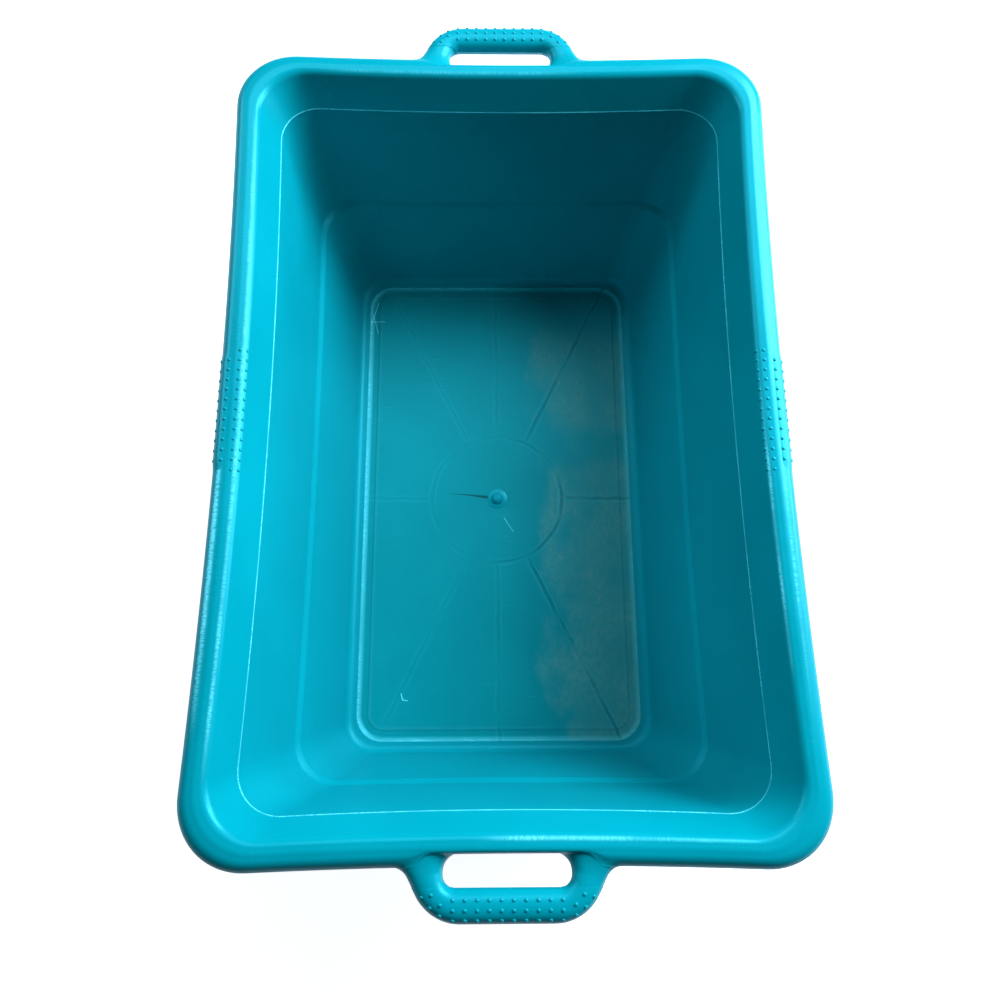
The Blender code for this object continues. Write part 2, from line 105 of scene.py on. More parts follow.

# Plastic finishes: roughness, direction, cover and depth of scratches, and how far rubbed lines and painted
# highlight streaks break up, or 0 where there are none
Finish = namedtuple("Finish", "rough scratch_turn scratch_cover scratch_depth breaks")
FINISHES = {
    "rim_plastic": Finish(0.27, (0, 0, 0), 0.5, 0.22, 0.75),
    "wall_plastic": Finish(0.40, (0, radians(90), 0), 0.5, 0.07, 0.75),
    "floor_plastic": Finish(0.42, (0, 0, radians(30)), 0.4, 0.22, 0.55),
    "underside_plastic": Finish(0.45, (0, 0, 0), 0.4, 0.22, 0),
    "nub_plastic": Finish(0.30, (0, 0, 0), 0.2, 0.22, 0),
    "handle_plastic": Finish(0.30, (0, 0, 0), 0.35, 0.22, 0),
    "grip_plastic": Finish(0.27, (0, 0, 0), 0.5, 0.22, 0),
    "dot_plastic": Finish(0.32, (0, 0, 0), 0.4, 0.22, 0),
}
SPECULAR_LEVEL = 0.55
SPECULAR_TINT = (0.12, 0.9, 1.0, 1.0)
MOTTLE_SHARES = (0.95, 1.04)
MOTTLE_ROUGHNESS = 0.05
SCRATCH_ROUGHNESS = 0.15
GRAIN_HEIGHT = 0.4
SCRATCH_HEIGHT = 0.4
BUMP_STRENGTH = 0.35
BUMP_DISTANCE = 0.0002
# Distance along the tub over which the rim's long sides turn into its ends
RIM_END_RANGE = (0.335, 0.345)

# Plan
RIM_CORNER = 0.062
WITNESS_CORNER = 0.042
STEP_CORNER = 0.044
FLOOR_CORNER = 0.030
SIDE_BOW = 0.0093
END_BOW = 0.0068

# End handles
HOLE_WIDTH = 0.104
RIM_RECESS = 0.0097
RECESS_HALF_WIDTH = 0.062
RECESS_FADE = 0.016
BAR_DROP = 0.0145
ROOT_HALF_WIDTH = 0.0841
CORNER_HALF_WIDTH = 0.0618
ROOT_BOTTOM_DROP = 0.0355
HOLE_ROOT_ROUND = 0.014
HOLE_BAR_ROUND = 0.0105
ROOT_FLARE_ROUND = 0.015
BAR_CORNER_ROUND = 0.040
FLARE_SINK = 0.0003
BAR_SQUARENESS = 2.3
ROOT_SQUARENESS = 1.9
ROOT_FILLET = 0.009
LEAST_FILLET = 0.00001
FILLET_START = 0.0024
FILLET_SINK = 0.0002
WITNESS_SETBACK = 0.0008
SADDLE_DIP = 0.0006
SADDLE_REACH = 0.016
GRIP_STEP = 0.0003
BURY_DEPTH = 0.0006
BURY_TOP_DEPTH = 0.012
BURY_DROP = 0.0008
BURY_RISE_SHARE = 0.4
BURY_STEPS = 12
PARTING_BEAD = 0.00035
PARTING_ANGLE = radians(2.5)
ON_PARTING = 1e-6

# Side grips
GRIP_END_FADE = 0.012
GRIP_INNER_EDGE = 0.012
GRIP_INNER_FADE = 0.009
GRIP_EDGE_SINK = 0.00002
GRIP_BACK_SINK = 0.0006

# Ribs under the floor that read through it
RIB_RING_RADIUS = 0.079
RIB_THICKNESS = 0.003

# Gate nub: radius and level above the floor in its dimple, arc of its cap, and the skirt round it,
# whose radii are shares of the cap's
NUB_DIMPLE = ((0.0001, 0.00535), (0.0010, 0.0052), (0.0017, 0.0049), (0.0024, 0.0050), (0.0038, 0.0049))
NUB_ARC = (radians(30), radians(90))
NUB_BASE = 0.0011
NUB_RISE = 0.0042
NUB_SKIRT = ((1.25, 0.0008), (1.55, 0.00055), (1.64, 0.0003), (1.64, -0.0005))

# Resolution
DOT_SIDES = 16
DOT_RINGS = 8
NUB_STEPS = 8
NUB_SIDES = 48
CROWN_STEPS = 6
FOOT_STEPS = 6
RIDGE_STEPS = 6
ARC_STEP = radians(7)
CORNER_STEPS = 18
SIDE_STEPS = 44
END_STEPS = 90
BAR_SIDES = 32
HANDLE_ARC_STEPS = 12
HANDLE_LINE_STEPS = 8
GRIP_ROWS = 60

Corner = namedtuple("Corner", "name inset height radius")
Station = namedtuple("Station", "name inset height normal back corner bow recess share")


# Sizes and colours

class TubSizes(bpy.types.PropertyGroup):
    """Sizes of the tub that can be set by themselves."""
    rim_width: bpy.props.FloatProperty(
        name="Rim width", description="Width of the rim's widest line before its bow",
        default=0.5396, unit="LENGTH")
    rim_length: bpy.props.FloatProperty(
        name="Rim length", description="Length of the rim's widest line before its bow",
        default=0.784, unit="LENGTH")
    tub_height: bpy.props.FloatProperty(
        name="Height", description="Height of the rim's top above the ground",
        default=0.325, unit="LENGTH")
    wall: bpy.props.FloatProperty(
        name="Wall", description="Thickness of the moulded wall", default=0.0025, unit="LENGTH")
    hand_gap: bpy.props.FloatProperty(
        name="Hand gap", description="Gap between the rim and a handle's bar", default=0.026, unit="LENGTH")
    bar_width: bpy.props.FloatProperty(
        name="Bar width", description="Width of a handle's bar from above", default=0.0255, unit="LENGTH")
    bar_thickness: bpy.props.FloatProperty(
        name="Bar thickness", description="Thickness of a handle's bar from the side",
        default=0.0205, unit="LENGTH")
    grip_length: bpy.props.FloatProperty(
        name="Side grip length", description="Length of a side grip along the rim",
        default=0.117, unit="LENGTH")
    grip_height: bpy.props.FloatProperty(
        name="Side grip height", description="How far a side grip stands proud of the rim",
        default=0.0008, unit="LENGTH")
    dot_pitch: bpy.props.FloatProperty(
        name="Dot pitch", description="Distance between the raised dots of a row",
        default=0.00965, unit="LENGTH")
    grip_dot_pitch: bpy.props.FloatProperty(
        name="Side dot pitch", description="Distance between the raised dots of a side grip",
        default=0.00958, unit="LENGTH")
    dot_radius: bpy.props.FloatProperty(
        name="Dot radius", description="Radius of a raised dot", default=0.00170, unit="LENGTH")
    dot_height: bpy.props.FloatProperty(
        name="Dot height", description="How far a dot stands proud", default=0.00095, unit="LENGTH")
    nub_radius: bpy.props.FloatProperty(
        name="Gate nub radius", description="Radius of the gate mark's cap", default=0.0073, unit="LENGTH")


class TubColours(bpy.types.PropertyGroup):
    """Colours of the tub's finishes."""
    plastic: bpy.props.FloatVectorProperty(
        name="Plastic", description="Colour of the moulded plastic", subtype="COLOR", size=4,
        default=(0.0, 0.335, 0.375, 1.0), min=0, max=1)
    # The floor's colour is darker and greener than the plastic of the rim and walls
    floor_plastic: bpy.props.FloatVectorProperty(
        name="Floor plastic", description="Colour of the tub's used floor", subtype="COLOR", size=4,
        default=(0.0, 0.285, 0.300, 1.0), min=0, max=1)
    # Pale colour of scratches, also used to paint the highlight beside the ribs' sink marks on the floor
    scuff_and_highlight: bpy.props.FloatVectorProperty(
        name="Scuff", description="Pale colour of scratched plastic", subtype="COLOR", size=4,
        default=(0.05, 0.70, 0.80, 1.0), min=0, max=1)
    # Pale colour of rubbed edges and light floor scores, also used to paint highlight streaks on the rim and
    # along the floor's lip
    rubbed_and_highlight: bpy.props.FloatVectorProperty(
        name="Rubbed edge", description="Pale colour of rubbed edges", subtype="COLOR", size=4,
        default=(0.17, 0.93, 1.0, 1.0), min=0, max=1)
    smear: bpy.props.FloatVectorProperty(
        name="Dried smear", description="Colour of the dull film on the floor", subtype="COLOR", size=4,
        default=(0.12, 0.37, 0.32, 1.0), min=0, max=1)
    stain: bpy.props.FloatVectorProperty(
        name="Gate stain", description="Colour of the dark trail beside the gate mark", subtype="COLOR",
        size=4, default=(0.004, 0.065, 0.07, 1.0), min=0, max=1)
    floor: bpy.props.FloatVectorProperty(
        name="Ground", description="Colour of the ground", subtype="COLOR", size=4,
        default=(0.80, 0.80, 0.80, 1.0), min=0, max=1)


class StageLight(bpy.types.PropertyGroup):
    """Strength of the studio light."""
    key_lamp: bpy.props.FloatProperty(
        name="Key lamp", description="Power of the soft lamp high on the right behind the tub",
        default=119.0, unit="POWER")
    low_lamp: bpy.props.FloatProperty(
        name="Low lamp", description="Power of the soft lamp low on the right", default=60.0, unit="POWER")
    back_lamp: bpy.props.FloatProperty(
        name="Back lamp", description="Power of the soft lamp high behind the tub",
        default=19.5, unit="POWER")
    left_lamp: bpy.props.FloatProperty(
        name="Left lamp", description="Power of the weak lamp on the left", default=21.0, unit="POWER")
    lamp_colour: bpy.props.FloatVectorProperty(
        name="Lamp colour", description="Colour of the lamps", subtype="COLOR", size=3,
        default=(0.64, 0.80, 1.0), min=0, max=1)
    surround: bpy.props.FloatProperty(
        name="Surround", description="Strength of the surrounding light", default=0.01, min=0, max=1)
    surround_colour: bpy.props.FloatVectorProperty(
        name="Surround colour", description="Colour of the surrounding light", subtype="COLOR", size=3,
        default=(0.9, 1.0, 0.42), min=0, max=1)
    focal_length: bpy.props.FloatProperty(
        name="Focal length", description="Camera focal length", default=0.0346, unit="CAMERA")


def sizes():
    """Sizes set in the sidebar."""
    return bpy.context.scene.tub_sizes


def colours():
    """Colours set in the sidebar."""
    return bpy.context.scene.tub_colours


# Section of the moulding

def turned(direction):
    """The direction a quarter turn anticlockwise, which is the air side of a section line."""
    return Vector((-direction.y, direction.x))


def rotated(direction, angle):
    """A plane direction turned by an angle."""
    return Vector((direction.x * cos(angle) - direction.y * sin(angle),
                   direction.x * sin(angle) + direction.y * cos(angle)))


def between(low_x, low_y, high_x, high_y, x):
    """Straight-line value at x between two pairs."""
    return low_y + (high_y - low_y) * (x - low_x) / (high_x - low_x)


def smooth_share(x):
    """Soft step from 0 to 1."""
    x = min(1, max(0, x))
    return x * x * (3 - 2 * x)


def section_corners():
    """Corners of the visible section line, from the foot of the skirt to the floor."""
    height = sizes().tub_height
    contour = height - DOME_RISE
    step_top = RIM_INSET + UPPER_RUN
    step_foot = step_top + STEP_RUN
    ledge = step_foot + LOWER_RUN
    edge = ledge + LEDGE_RUN
    lip = edge + LIP_RUN
    channel = lip + CHANNEL_SLOPE_RUN
    rise = channel + CHANNEL_RUN
    return [
        Corner("foot", SKIRT_TUCK, contour - SKIRT_DROP, 0),
        Corner("contour", 0, contour, SKIRT_ROUND),
        Corner("outer", DOME_LEAN, height, OUTER_ROUND),
        Corner("inner", RIM_BAND, height, INNER_ROUND),
        Corner("witness", RIM_INSET, height - RIM_FALL, 0),
        Corner("step_top", step_top, STEP_LEVEL + STEP_FALL / 2, STEP_ROUND),
        Corner("step", step_top + STEP_RUN / 2, STEP_LEVEL, 0),
        Corner("step_foot", step_foot, STEP_LEVEL - STEP_FALL / 2, STEP_ROUND),
        Corner("ledge", ledge, LEDGE_LEVEL, LEDGE_ROUND),
        Corner("edge", edge, LEDGE_LEVEL, 0),
        Corner("lip", lip, LEDGE_LEVEL, LIP_ROUND),
        Corner("channel", channel, CHANNEL_LEVEL, CHANNEL_ROUND),
        Corner("rise", rise, CHANNEL_LEVEL, FLOOR_RISE_ROUND),
        Corner("crest", rise + FLOOR_RISE_RUN, FLOOR_LEVEL, FLOOR_RISE_ROUND),
        Corner("floor", rise + CHANNEL_RUN, FLOOR_LEVEL, 0),
    ]


def inset_of(name):
    """Inset of a named corner of the section."""
    return next(corner.inset for corner in section_corners() if corner.name == name)


def plan_corner(inset):
    """Plan corner radius of the visible line at an inset."""
    witness, step, edge = inset_of("witness"), inset_of("step"), inset_of("edge")
    if inset <= witness:
        return between(0, RIM_CORNER, witness, WITNESS_CORNER, inset)
    if inset <= step:
        return between(witness, WITNESS_CORNER, step, STEP_CORNER, inset)
    if inset <= edge:
        return between(step, STEP_CORNER, edge, FLOOR_CORNER, inset)
    return FLOOR_CORNER - (inset - edge)


def recess_share(inset):
    """How far a line follows the hand recess: 1 at the skirt, 0 from the flat of the dome."""
    return min(1, max(0, 1 - inset / (DOME_LEAN + OUTER_ROUND)))


def station(name, point, normal, miter, share=0.5):
    """A place on the visible line, with the distance back to the hidden face and its share of a round."""
    return Station(name, point.x, point.y, normal, back=sizes().wall * miter, corner=plan_corner(point.x),
                   bow=point.y / (sizes().tub_height - DOME_RISE), recess=recess_share(point.x), share=share)


def rounded_corner(corner, before, after):
    """Stations round one corner of the section line."""
    here = Vector((corner.inset, corner.height))
    arrive = (here - Vector((before.inset, before.height))).normalized()
    leave = (Vector((after.inset, after.height)) - here).normalized()
    turn = atan2(arrive.x * leave.y - arrive.y * leave.x, arrive.dot(leave))
    if corner.radius == 0:
        normal = turned((arrive + leave).normalized())
        return [station(corner.name, here, normal, 1 / cos(turn / 2))]
    side = copysign(corner.radius, turn)
    start = here - arrive * corner.radius * tan(abs(turn) / 2)
    centre = start + turned(arrive) * side
    steps = max(2, ceil(abs(turn) / ARC_STEP))
    places = []
    for step in range(steps + 1):
        normal = turned(rotated(arrive, turn * step / steps))
        places.append(station(corner.name, centre - normal * side, normal, 1, step / steps))
    return places


def visible_line():
    """Stations of the whole visible line, from the foot of the skirt to the floor."""
    corners = section_corners()
    first, last = corners[0], corners[-1]
    rise = Vector((corners[1].inset - first.inset, corners[1].height - first.height)).normalized()
    places = [station(first.name, Vector((first.inset, first.height)), turned(rise), 1)]
    for before, here, after in zip(corners, corners[1:], corners[2:]):
        places += rounded_corner(here, before, after)
    places.append(station(last.name, Vector((last.inset, last.height)), Vector((0, 1)), 1))
    return crowned(places)


def crowned(places):
    """The line with the flat of the dome lifted a little in its middle."""
    start = max(place.inset for place in places if place.name == "outer")
    end = min(place.inset for place in places if place.name == "inner")
    line = []
    for place, after in zip(places, places[1:] + [None]):
        line.append(place)
        if place.name == "outer" and after.name == "inner":
            for step in range(1, CROWN_STEPS):
                share = step / CROWN_STEPS
                lift = DOME_CROWN * sin(pi * share)
                inset = start + (end - start) * share
                point = Vector((inset, place.height + lift))
                line.append(station("dome", point, Vector((0, 1)), 1))
    return line


def shifted(place, outwards=0.0, along=0.0):
    """The station moved towards the air, and along the section line."""
    tangent = Vector((place.normal.y, -place.normal.x))
    move = place.normal * outwards + tangent * along
    inset = place.inset + move.x
    return place._replace(inset=inset, height=place.height + move.y,
                          corner=place.corner + (place.inset - inset))


def stretch(line, start, end):
    """The stations of the line from one named corner to another."""
    names = [place.name for place in line]
    return line[names.index(start):len(names) - names[::-1].index(end)]


def hidden(places):
    """The hidden face of a stretch, in reverse order."""
    return [shifted(place, outwards=-place.back)._replace(name="hidden") for place in reversed(places)]


def rounded_foot(place):
    """Stations round the free edge of the skirt, from its hidden face to its visible one."""
    half = place.back / 2
    places = []
    for step in range(1, FOOT_STEPS):
        angle = pi * step / FOOT_STEPS
        foot = shifted(place, outwards=-half - half * cos(angle), along=-half * sin(angle))
        places.append(foot._replace(name="hidden"))
    return places


# Plan of the moulding

def recess_depth(x):
    """Depth of the hand recess at a place across a short side."""
    return RIM_RECESS * (1 - smooth_share((abs(x) - RECESS_HALF_WIDTH) / RECESS_FADE))


def corner_points(x, y, radius, start):
    """Points round one plan corner."""
    angles = [start + pi / 2 * step / CORNER_STEPS for step in range(CORNER_STEPS + 1)]
    return [(x + radius * cos(angle), y + radius * sin(angle)) for angle in angles]


def bowed(x, y, half_width, half_length, place):
    """A plan point drawn in by the bow of the long and short sides."""
    side = SIDE_BOW * place.bow * (1 - (y / half_length) ** 2)
    end = END_BOW * place.bow * (1 - (x / half_width) ** 2)
    return Vector((x * (1 - side / half_width), y * (1 - end / half_length), place.height))


def plan_ring(place):
    """Points of one ring of the tub, anticlockwise from its +X side."""
    half_width = sizes().rim_width / 2 - place.inset
    half_length = sizes().rim_length / 2 - place.inset
    radius = max(place.corner, MILLIMETRE)
    side = half_length - radius
    end = half_width - radius
    outline = [(half_width, side * (2 * step / SIDE_STEPS - 1)) for step in range(1, SIDE_STEPS)]
    outline += corner_points(end, side, radius, 0)
    across = [end * (1 - 2 * step / END_STEPS) for step in range(1, END_STEPS)]
    outline += [(x, half_length - recess_depth(x) * place.recess) for x in across]
    outline += corner_points(-end, side, radius, pi / 2)
    outline += [(-x, -y) for x, y in outline]
    return [bowed(x, y, half_width, half_length, place) for x, y in outline]


def rim_line_at(x):
    """Distance from the middle of the tub to the widest line of an end, at a place across it."""
    half_width = sizes().rim_width / 2
    return sizes().rim_length / 2 - END_BOW * (1 - (x / half_width) ** 2)


def rim_point(place, y, side):
    """Point of a long side of the rim at a distance along it."""
    half_width = sizes().rim_width / 2 - place.inset
    half_length = sizes().rim_length / 2 - place.inset
    point = bowed(half_width, y, half_width, half_length, place)
    return Vector((side * point.x, y, point.z))


# Meshes and objects

def placed(name, data):
    """New object with some data, in the scene."""
    item = bpy.data.objects.new(name, data)
    bpy.context.scene.collection.objects.link(item)
    return item


def finished(name, mesh, material, nodes=(), sharp=40):
    """Place a mesh as a piece that rides on the tub and stands for its nodes."""
    mesh.shade_smooth()
    mesh.set_sharp_from_angle(angle=radians(sharp))
    mesh.materials.clear()
    mesh.materials.append(material)
    piece = placed(name, mesh)
    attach(piece, BODY)
    if nodes:
        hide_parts(*nodes)


def loft_mesh(name, rings, closed_along):
    """Closed mesh through rings of equal count, capped at both ends or closed on itself."""
    shape = bmesh.new()
    loops = [[shape.verts.new(point) for point in ring] for ring in rings]
    count = len(rings[0])
    spans = len(loops) if closed_along else len(loops) - 1
    for row in range(spans):
        near, far = loops[row], loops[(row + 1) % len(loops)]
        for column in range(count):
            step = (column + 1) % count
            shape.faces.new((near[column], near[step], far[step], far[column]))
    if not closed_along:
        shape.faces.new(list(reversed(loops[0])))
        shape.faces.new(loops[-1])
    return closed_mesh(name, shape)


def tub_mesh(name, places, closed_along):
    """Closed mesh through the rings of some stations, which carries how worn they are and where highlights
    are painted on them.
    """
    rings = [plan_ring(place) for place in places]
    mesh = loft_mesh(name, rings, closed_along)
    wear = mesh.attributes.new("wear", "FLOAT", "POINT")
    values = [wear_and_highlight_at(place, point) for place, ring in zip(places, rings) for point in ring]
    wear.data.foreach_set("value", values)
    return mesh


def wear_and_highlight_at(place, point):
    """How worn the moulding is at a point of a ring, and how strongly a highlight is painted there."""
    worn = LINE_WEAR_AND_HIGHLIGHT.get(place.name, 0) * (sin(pi * place.share) if place.name == "ridge" else 1)
    for streak in SCUFF_AND_HIGHLIGHT_STREAKS:
        if streak.line != place.name:
            continue
        on_end = streak.side in ("front", "back")
        along, out = (point.x, point.y) if on_end else (point.y, point.x)
        sign = -1 if streak.side in ("front", "left") else 1
        least = sizes().rim_length / 2 - RIM_INSET if on_end else sizes().rim_width / 2 - RIM_INSET
        if out * sign < least * STREAK_SIDE_SHARE:
            continue
        across = 1 - smooth_share(abs(place.share - streak.middle) / streak.spread)
        inside = min(along - streak.start, streak.end - along)
        worn = max(worn, streak.depth * across * smooth_share(inside / streak.fade))
    return worn


def closed_mesh(name, shape):
    """Turn a bmesh into a mesh whose faces point outwards."""
    bmesh.ops.recalc_face_normals(shape, faces=shape.faces)
    mesh = bpy.data.meshes.new(name)
    shape.to_mesh(mesh)
    shape.free()
    return mesh


# Shader groups

def new_group(name, inputs, outputs):
    """Empty shader group with named sockets, with what comes into it and what goes out."""
    group = bpy.data.node_groups.new(name, "ShaderNodeTree")
    for label, default in inputs.items():
        kind = "NodeSocketVector" if isinstance(default, tuple) else "NodeSocketFloat"
        group.interface.new_socket(label, in_out="INPUT", socket_type=kind).default_value = default
    for label in outputs:
        group.interface.new_socket(label, in_out="OUTPUT", socket_type="NodeSocketFloat")
    return group, group.nodes.new("NodeGroupInput").outputs, group.nodes.new("NodeGroupOutput").inputs


def feed(tree, socket, value):
    """Link an input to another socket, or set its value."""
    if isinstance(value, bpy.types.NodeSocket):
        tree.links.new(value, socket)
    else:
        socket.default_value = value


def add_node(tree, kind, settings=(), **links):
    """Add a node, set its properties, and feed its inputs by name or, as i0, i1 and so on, by number."""
    node = tree.nodes.new(kind)
    for key, value in dict(settings).items():
        setattr(node, key, value)
    for key, value in links.items():
        feed(tree, node.inputs[int(key[1:]) if key[1:].isdigit() else key.replace("_", " ")], value)
    return node


def maths(tree, operation, *values):
    """Maths node on sockets or numbers, as its output."""
    node = add_node(tree, "ShaderNodeMath", {"operation": operation})
    for number, value in enumerate(values):
        feed(tree, node.inputs[number], value)
    return node.outputs[0]


def product(tree, first, second):
    """Product of two sockets or numbers, as an output."""
    return maths(tree, "MULTIPLY", first, second)


def raised(tree, value, gain, base):
    """A value times a gain, on top of a base, as an output."""
    return maths(tree, "MULTIPLY_ADD", value, gain, base)


def inverted(tree, share):
    """What a share leaves of 1, as an output."""
    return maths(tree, "SUBTRACT", 1.0, share)


def difference(tree, first, second):
    """Distance between two values, as an output."""
    return maths(tree, "ABSOLUTE", maths(tree, "SUBTRACT", first, second))


def plan_length(tree, x, y):
    """Length of a plan vector, as an output."""
    return maths(tree, "SQRT", maths(tree, "ADD", product(tree, x, x), product(tree, y, y)))


def ramp(tree, value, low, high):
    """Soft step of a value between two limits, as an output."""
    node = add_node(tree, "ShaderNodeMapRange", {"interpolation_type": "SMOOTHSTEP"}, Value=value,
                    From_Min=low, From_Max=high)
    return node.outputs["Result"]


def object_place(tree):
    """Object coordinates inside a tree, as a vector socket."""
    return tree.nodes.new("ShaderNodeTexCoord").outputs["Object"]


def plan_place(tree, place=None):
    """X and Y of the object coordinates, or of another place."""
    parts = add_node(tree, "ShaderNodeSeparateXYZ", Vector=place or object_place(tree))
    return parts.outputs["X"], parts.outputs["Y"]


def stretched_place(tree, turn, scale, place=None):
    """Object coordinates, or another place, turned and scaled."""
    node = add_node(tree, "ShaderNodeMapping", Vector=place or object_place(tree), Rotation=turn,
                    Scale=scale)
    return node.outputs["Vector"]


def across_place(tree):
    """Object coordinates whose X runs across the rim on the long sides and on the ends."""
    parts = add_node(tree, "ShaderNodeSeparateXYZ", Vector=object_place(tree))
    x, y, z = (parts.outputs[label] for label in "XYZ")
    swapped = add_node(tree, "ShaderNodeCombineXYZ", X=y, Y=x, Z=z)
    on_end = ramp(tree, maths(tree, "ABSOLUTE", y), *RIM_END_RANGE)
    node = add_node(tree, "ShaderNodeMix", {"data_type": "VECTOR"}, i0=on_end, i4=object_place(tree),
                    i5=swapped.outputs[0])
    return node.outputs[1]


def noise(tree, place, scale, detail, roughness=0.5):
    """Noise value at a place."""
    node = add_node(tree, "ShaderNodeTexNoise", Vector=place, Scale=scale, Detail=detail,
                    Roughness=roughness)
    return node.outputs["Fac"]


# Noise limits of the plastic's cloudiness
CLOUD_RANGE = (0.3, 0.72)

# Scratches: how far their noise is drawn out, its limits in a line, and scale and limits of their patches
SCRATCH_STRETCH = (30, 1500, 1500)
SCRATCH_LINE_RANGE = (0.58, 0.74)
SCRATCH_PATCH_SCALE = 16.0
SCRATCH_PATCH_RANGE = (0.75, 0.85)

# Rubbed edges and painted highlight streaks: the same for the marks across them and for their patches
WEAR_STRETCH = (90, 620, 620)
WEAR_MARK_RANGE = (0.36, 0.60)
WEAR_PATCH_SCALE = 22.0
WEAR_PATCH_RANGE = (0.3, 0.66)


def moulded_grain_group():
    """Faint orange peel and cloudiness of moulded plastic: a height and a mottle."""
    group, start, end = new_group("moulded_grain", {"Grain Scale": 420.0, "Cloud Scale": 9.0},
                                  ("Height", "Mottle"))
    place = object_place(group)
    feed(group, end["Height"], noise(group, place, start["Grain Scale"], detail=3))
    cloud = noise(group, place, start["Cloud Scale"], detail=3)
    feed(group, end["Mottle"], ramp(group, cloud, *CLOUD_RANGE))
    return group


def scratches_group():
    """Fine straight scratches along one direction, broken up into patches."""
    group, start, end = new_group(
        "scratches", {"Direction": (0, 0, 0), "Fineness": 1.0, "Cover": 0.5, "Seed": 0.0}, ("Mask",))
    place = stretched_place(group, start["Direction"], SCRATCH_STRETCH, across_place(group))
    moved = add_node(group, "ShaderNodeVectorMath", {"operation": "ADD"}, i0=place, i1=start["Seed"])
    lines = noise(group, moved.outputs[0], start["Fineness"], detail=1)
    patches = noise(group, object_place(group), SCRATCH_PATCH_SCALE, detail=2)
    least, most = SCRATCH_PATCH_RANGE
    spread = ramp(group, patches, product(group, inverted(group, start["Cover"]), least), most)
    feed(group, end["Mask"], product(group, ramp(group, lines, *SCRATCH_LINE_RANGE), spread))
    return group


def edge_wear_and_highlight_group():
    """Pale line along an edge for worn lines and painted highlights, broken up by fine marks across it and
    by patches.
    """
    group, start, end = new_group(
        "edge_wear", {"Wear": 0.0, "Direction": (0, 0, 0), "Breaks": 0.5}, ("Mask",))
    place = stretched_place(group, start["Direction"], WEAR_STRETCH, across_place(group))
    fine = ramp(group, noise(group, place, 1.0, detail=3, roughness=0.6), *WEAR_MARK_RANGE)
    patch = ramp(group, noise(group, object_place(group), WEAR_PATCH_SCALE, detail=3), *WEAR_PATCH_RANGE)
    whole = inverted(group, start["Breaks"])
    share = raised(group, product(group, fine, patch), start["Breaks"], whole)
    feed(group, end["Mask"], product(group, start["Wear"], share))
    return group


# Dried film on the floor, in metres across the tub: where its left edge starts, how far it fades in, and
# how far noise sways it; and along the tub: where that edge moves over and how far, the thin band and its
# cover, and where the film ends
FILM_EDGE = 0.05
FILM_EDGE_FADE = 0.055
FILM_EDGE_SWAY = 0.15
FILM_MOVE_RANGE = (0.06, 0.12)
FILM_MOVE = 0.025
FILM_BAND_MIDDLE = 0.068
FILM_BAND_RANGE = (0.008, 0.035)
FILM_BAND_COVER = 0.25
FILM_END_RANGE = (0.19, 0.24)
# Noise of its patches and of the flecks in them, and their cover on top of the least cover
FILM_STRETCH = (1.7, 1, 1)
FILM_PATCH_SCALE = 13.0
FILM_PATCH_RANGE = (0.36, 0.64)
FILM_FLECK_SCALE = 120.0
FILM_FLECK_RANGE = (0.25, 0.75)
FILM_PATCH_COVER = 0.75
FILM_LEAST_COVER = 0.40


def smears_group():
    """Dried, mottled film that lies on the right of the floor."""
    group, start, end = new_group("dried_smears", {"Scale": FILM_PATCH_SCALE, "Edge": FILM_EDGE}, ("Mask",))
    place = stretched_place(group, (0, 0, 0), FILM_STRETCH)
    soft = noise(group, place, start["Scale"], detail=4, roughness=0.55)
    x, y = plan_place(group)
    x = raised(group, ramp(group, y, *FILM_MOVE_RANGE), FILM_MOVE, x)
    x = raised(group, maths(group, "SUBTRACT", soft, 0.5), FILM_EDGE_SWAY, x)
    side = ramp(group, x, start["Edge"], maths(group, "ADD", start["Edge"], FILM_EDGE_FADE))
    beyond = ramp(group, difference(group, y, FILM_BAND_MIDDLE), *FILM_BAND_RANGE)
    clear = raised(group, beyond, 1 - FILM_BAND_COVER, FILM_BAND_COVER)
    far = inverted(group, ramp(group, y, *FILM_END_RANGE))
    body = ramp(group, soft, *FILM_PATCH_RANGE)
    flecks = noise(group, place, FILM_FLECK_SCALE, detail=4, roughness=0.7)
    fine = ramp(group, flecks, *FILM_FLECK_RANGE)
    inner = raised(group, product(group, body, fine), FILM_PATCH_COVER, FILM_LEAST_COVER)
    feed(group, end["Mask"], product(group, product(group, side, clear), product(group, far, inner)))
    return group


# Read-through of the ribs: noise that sways them, fade outside the ring, scale and limits of its patches,
# and, as shares of its width, limits of the dark line of painted shade and place and spread of the light
# edge of painted highlight beside it
RIB_SWAY_SCALE = 45.0
RIB_SWAY = 0.005
RIB_RING_FADE = 0.004
RIB_PATCH_SCALE = 24.0
RIB_PATCH_RANGE = (0.36, 0.60)
RIB_READ_WIDTH = 1.3 * RIB_THICKNESS
RIB_LINE_SHARES = (0.15, 0.7)
RIB_EDGE_SHARE = 0.85
RIB_EDGE_SPREAD = 0.45


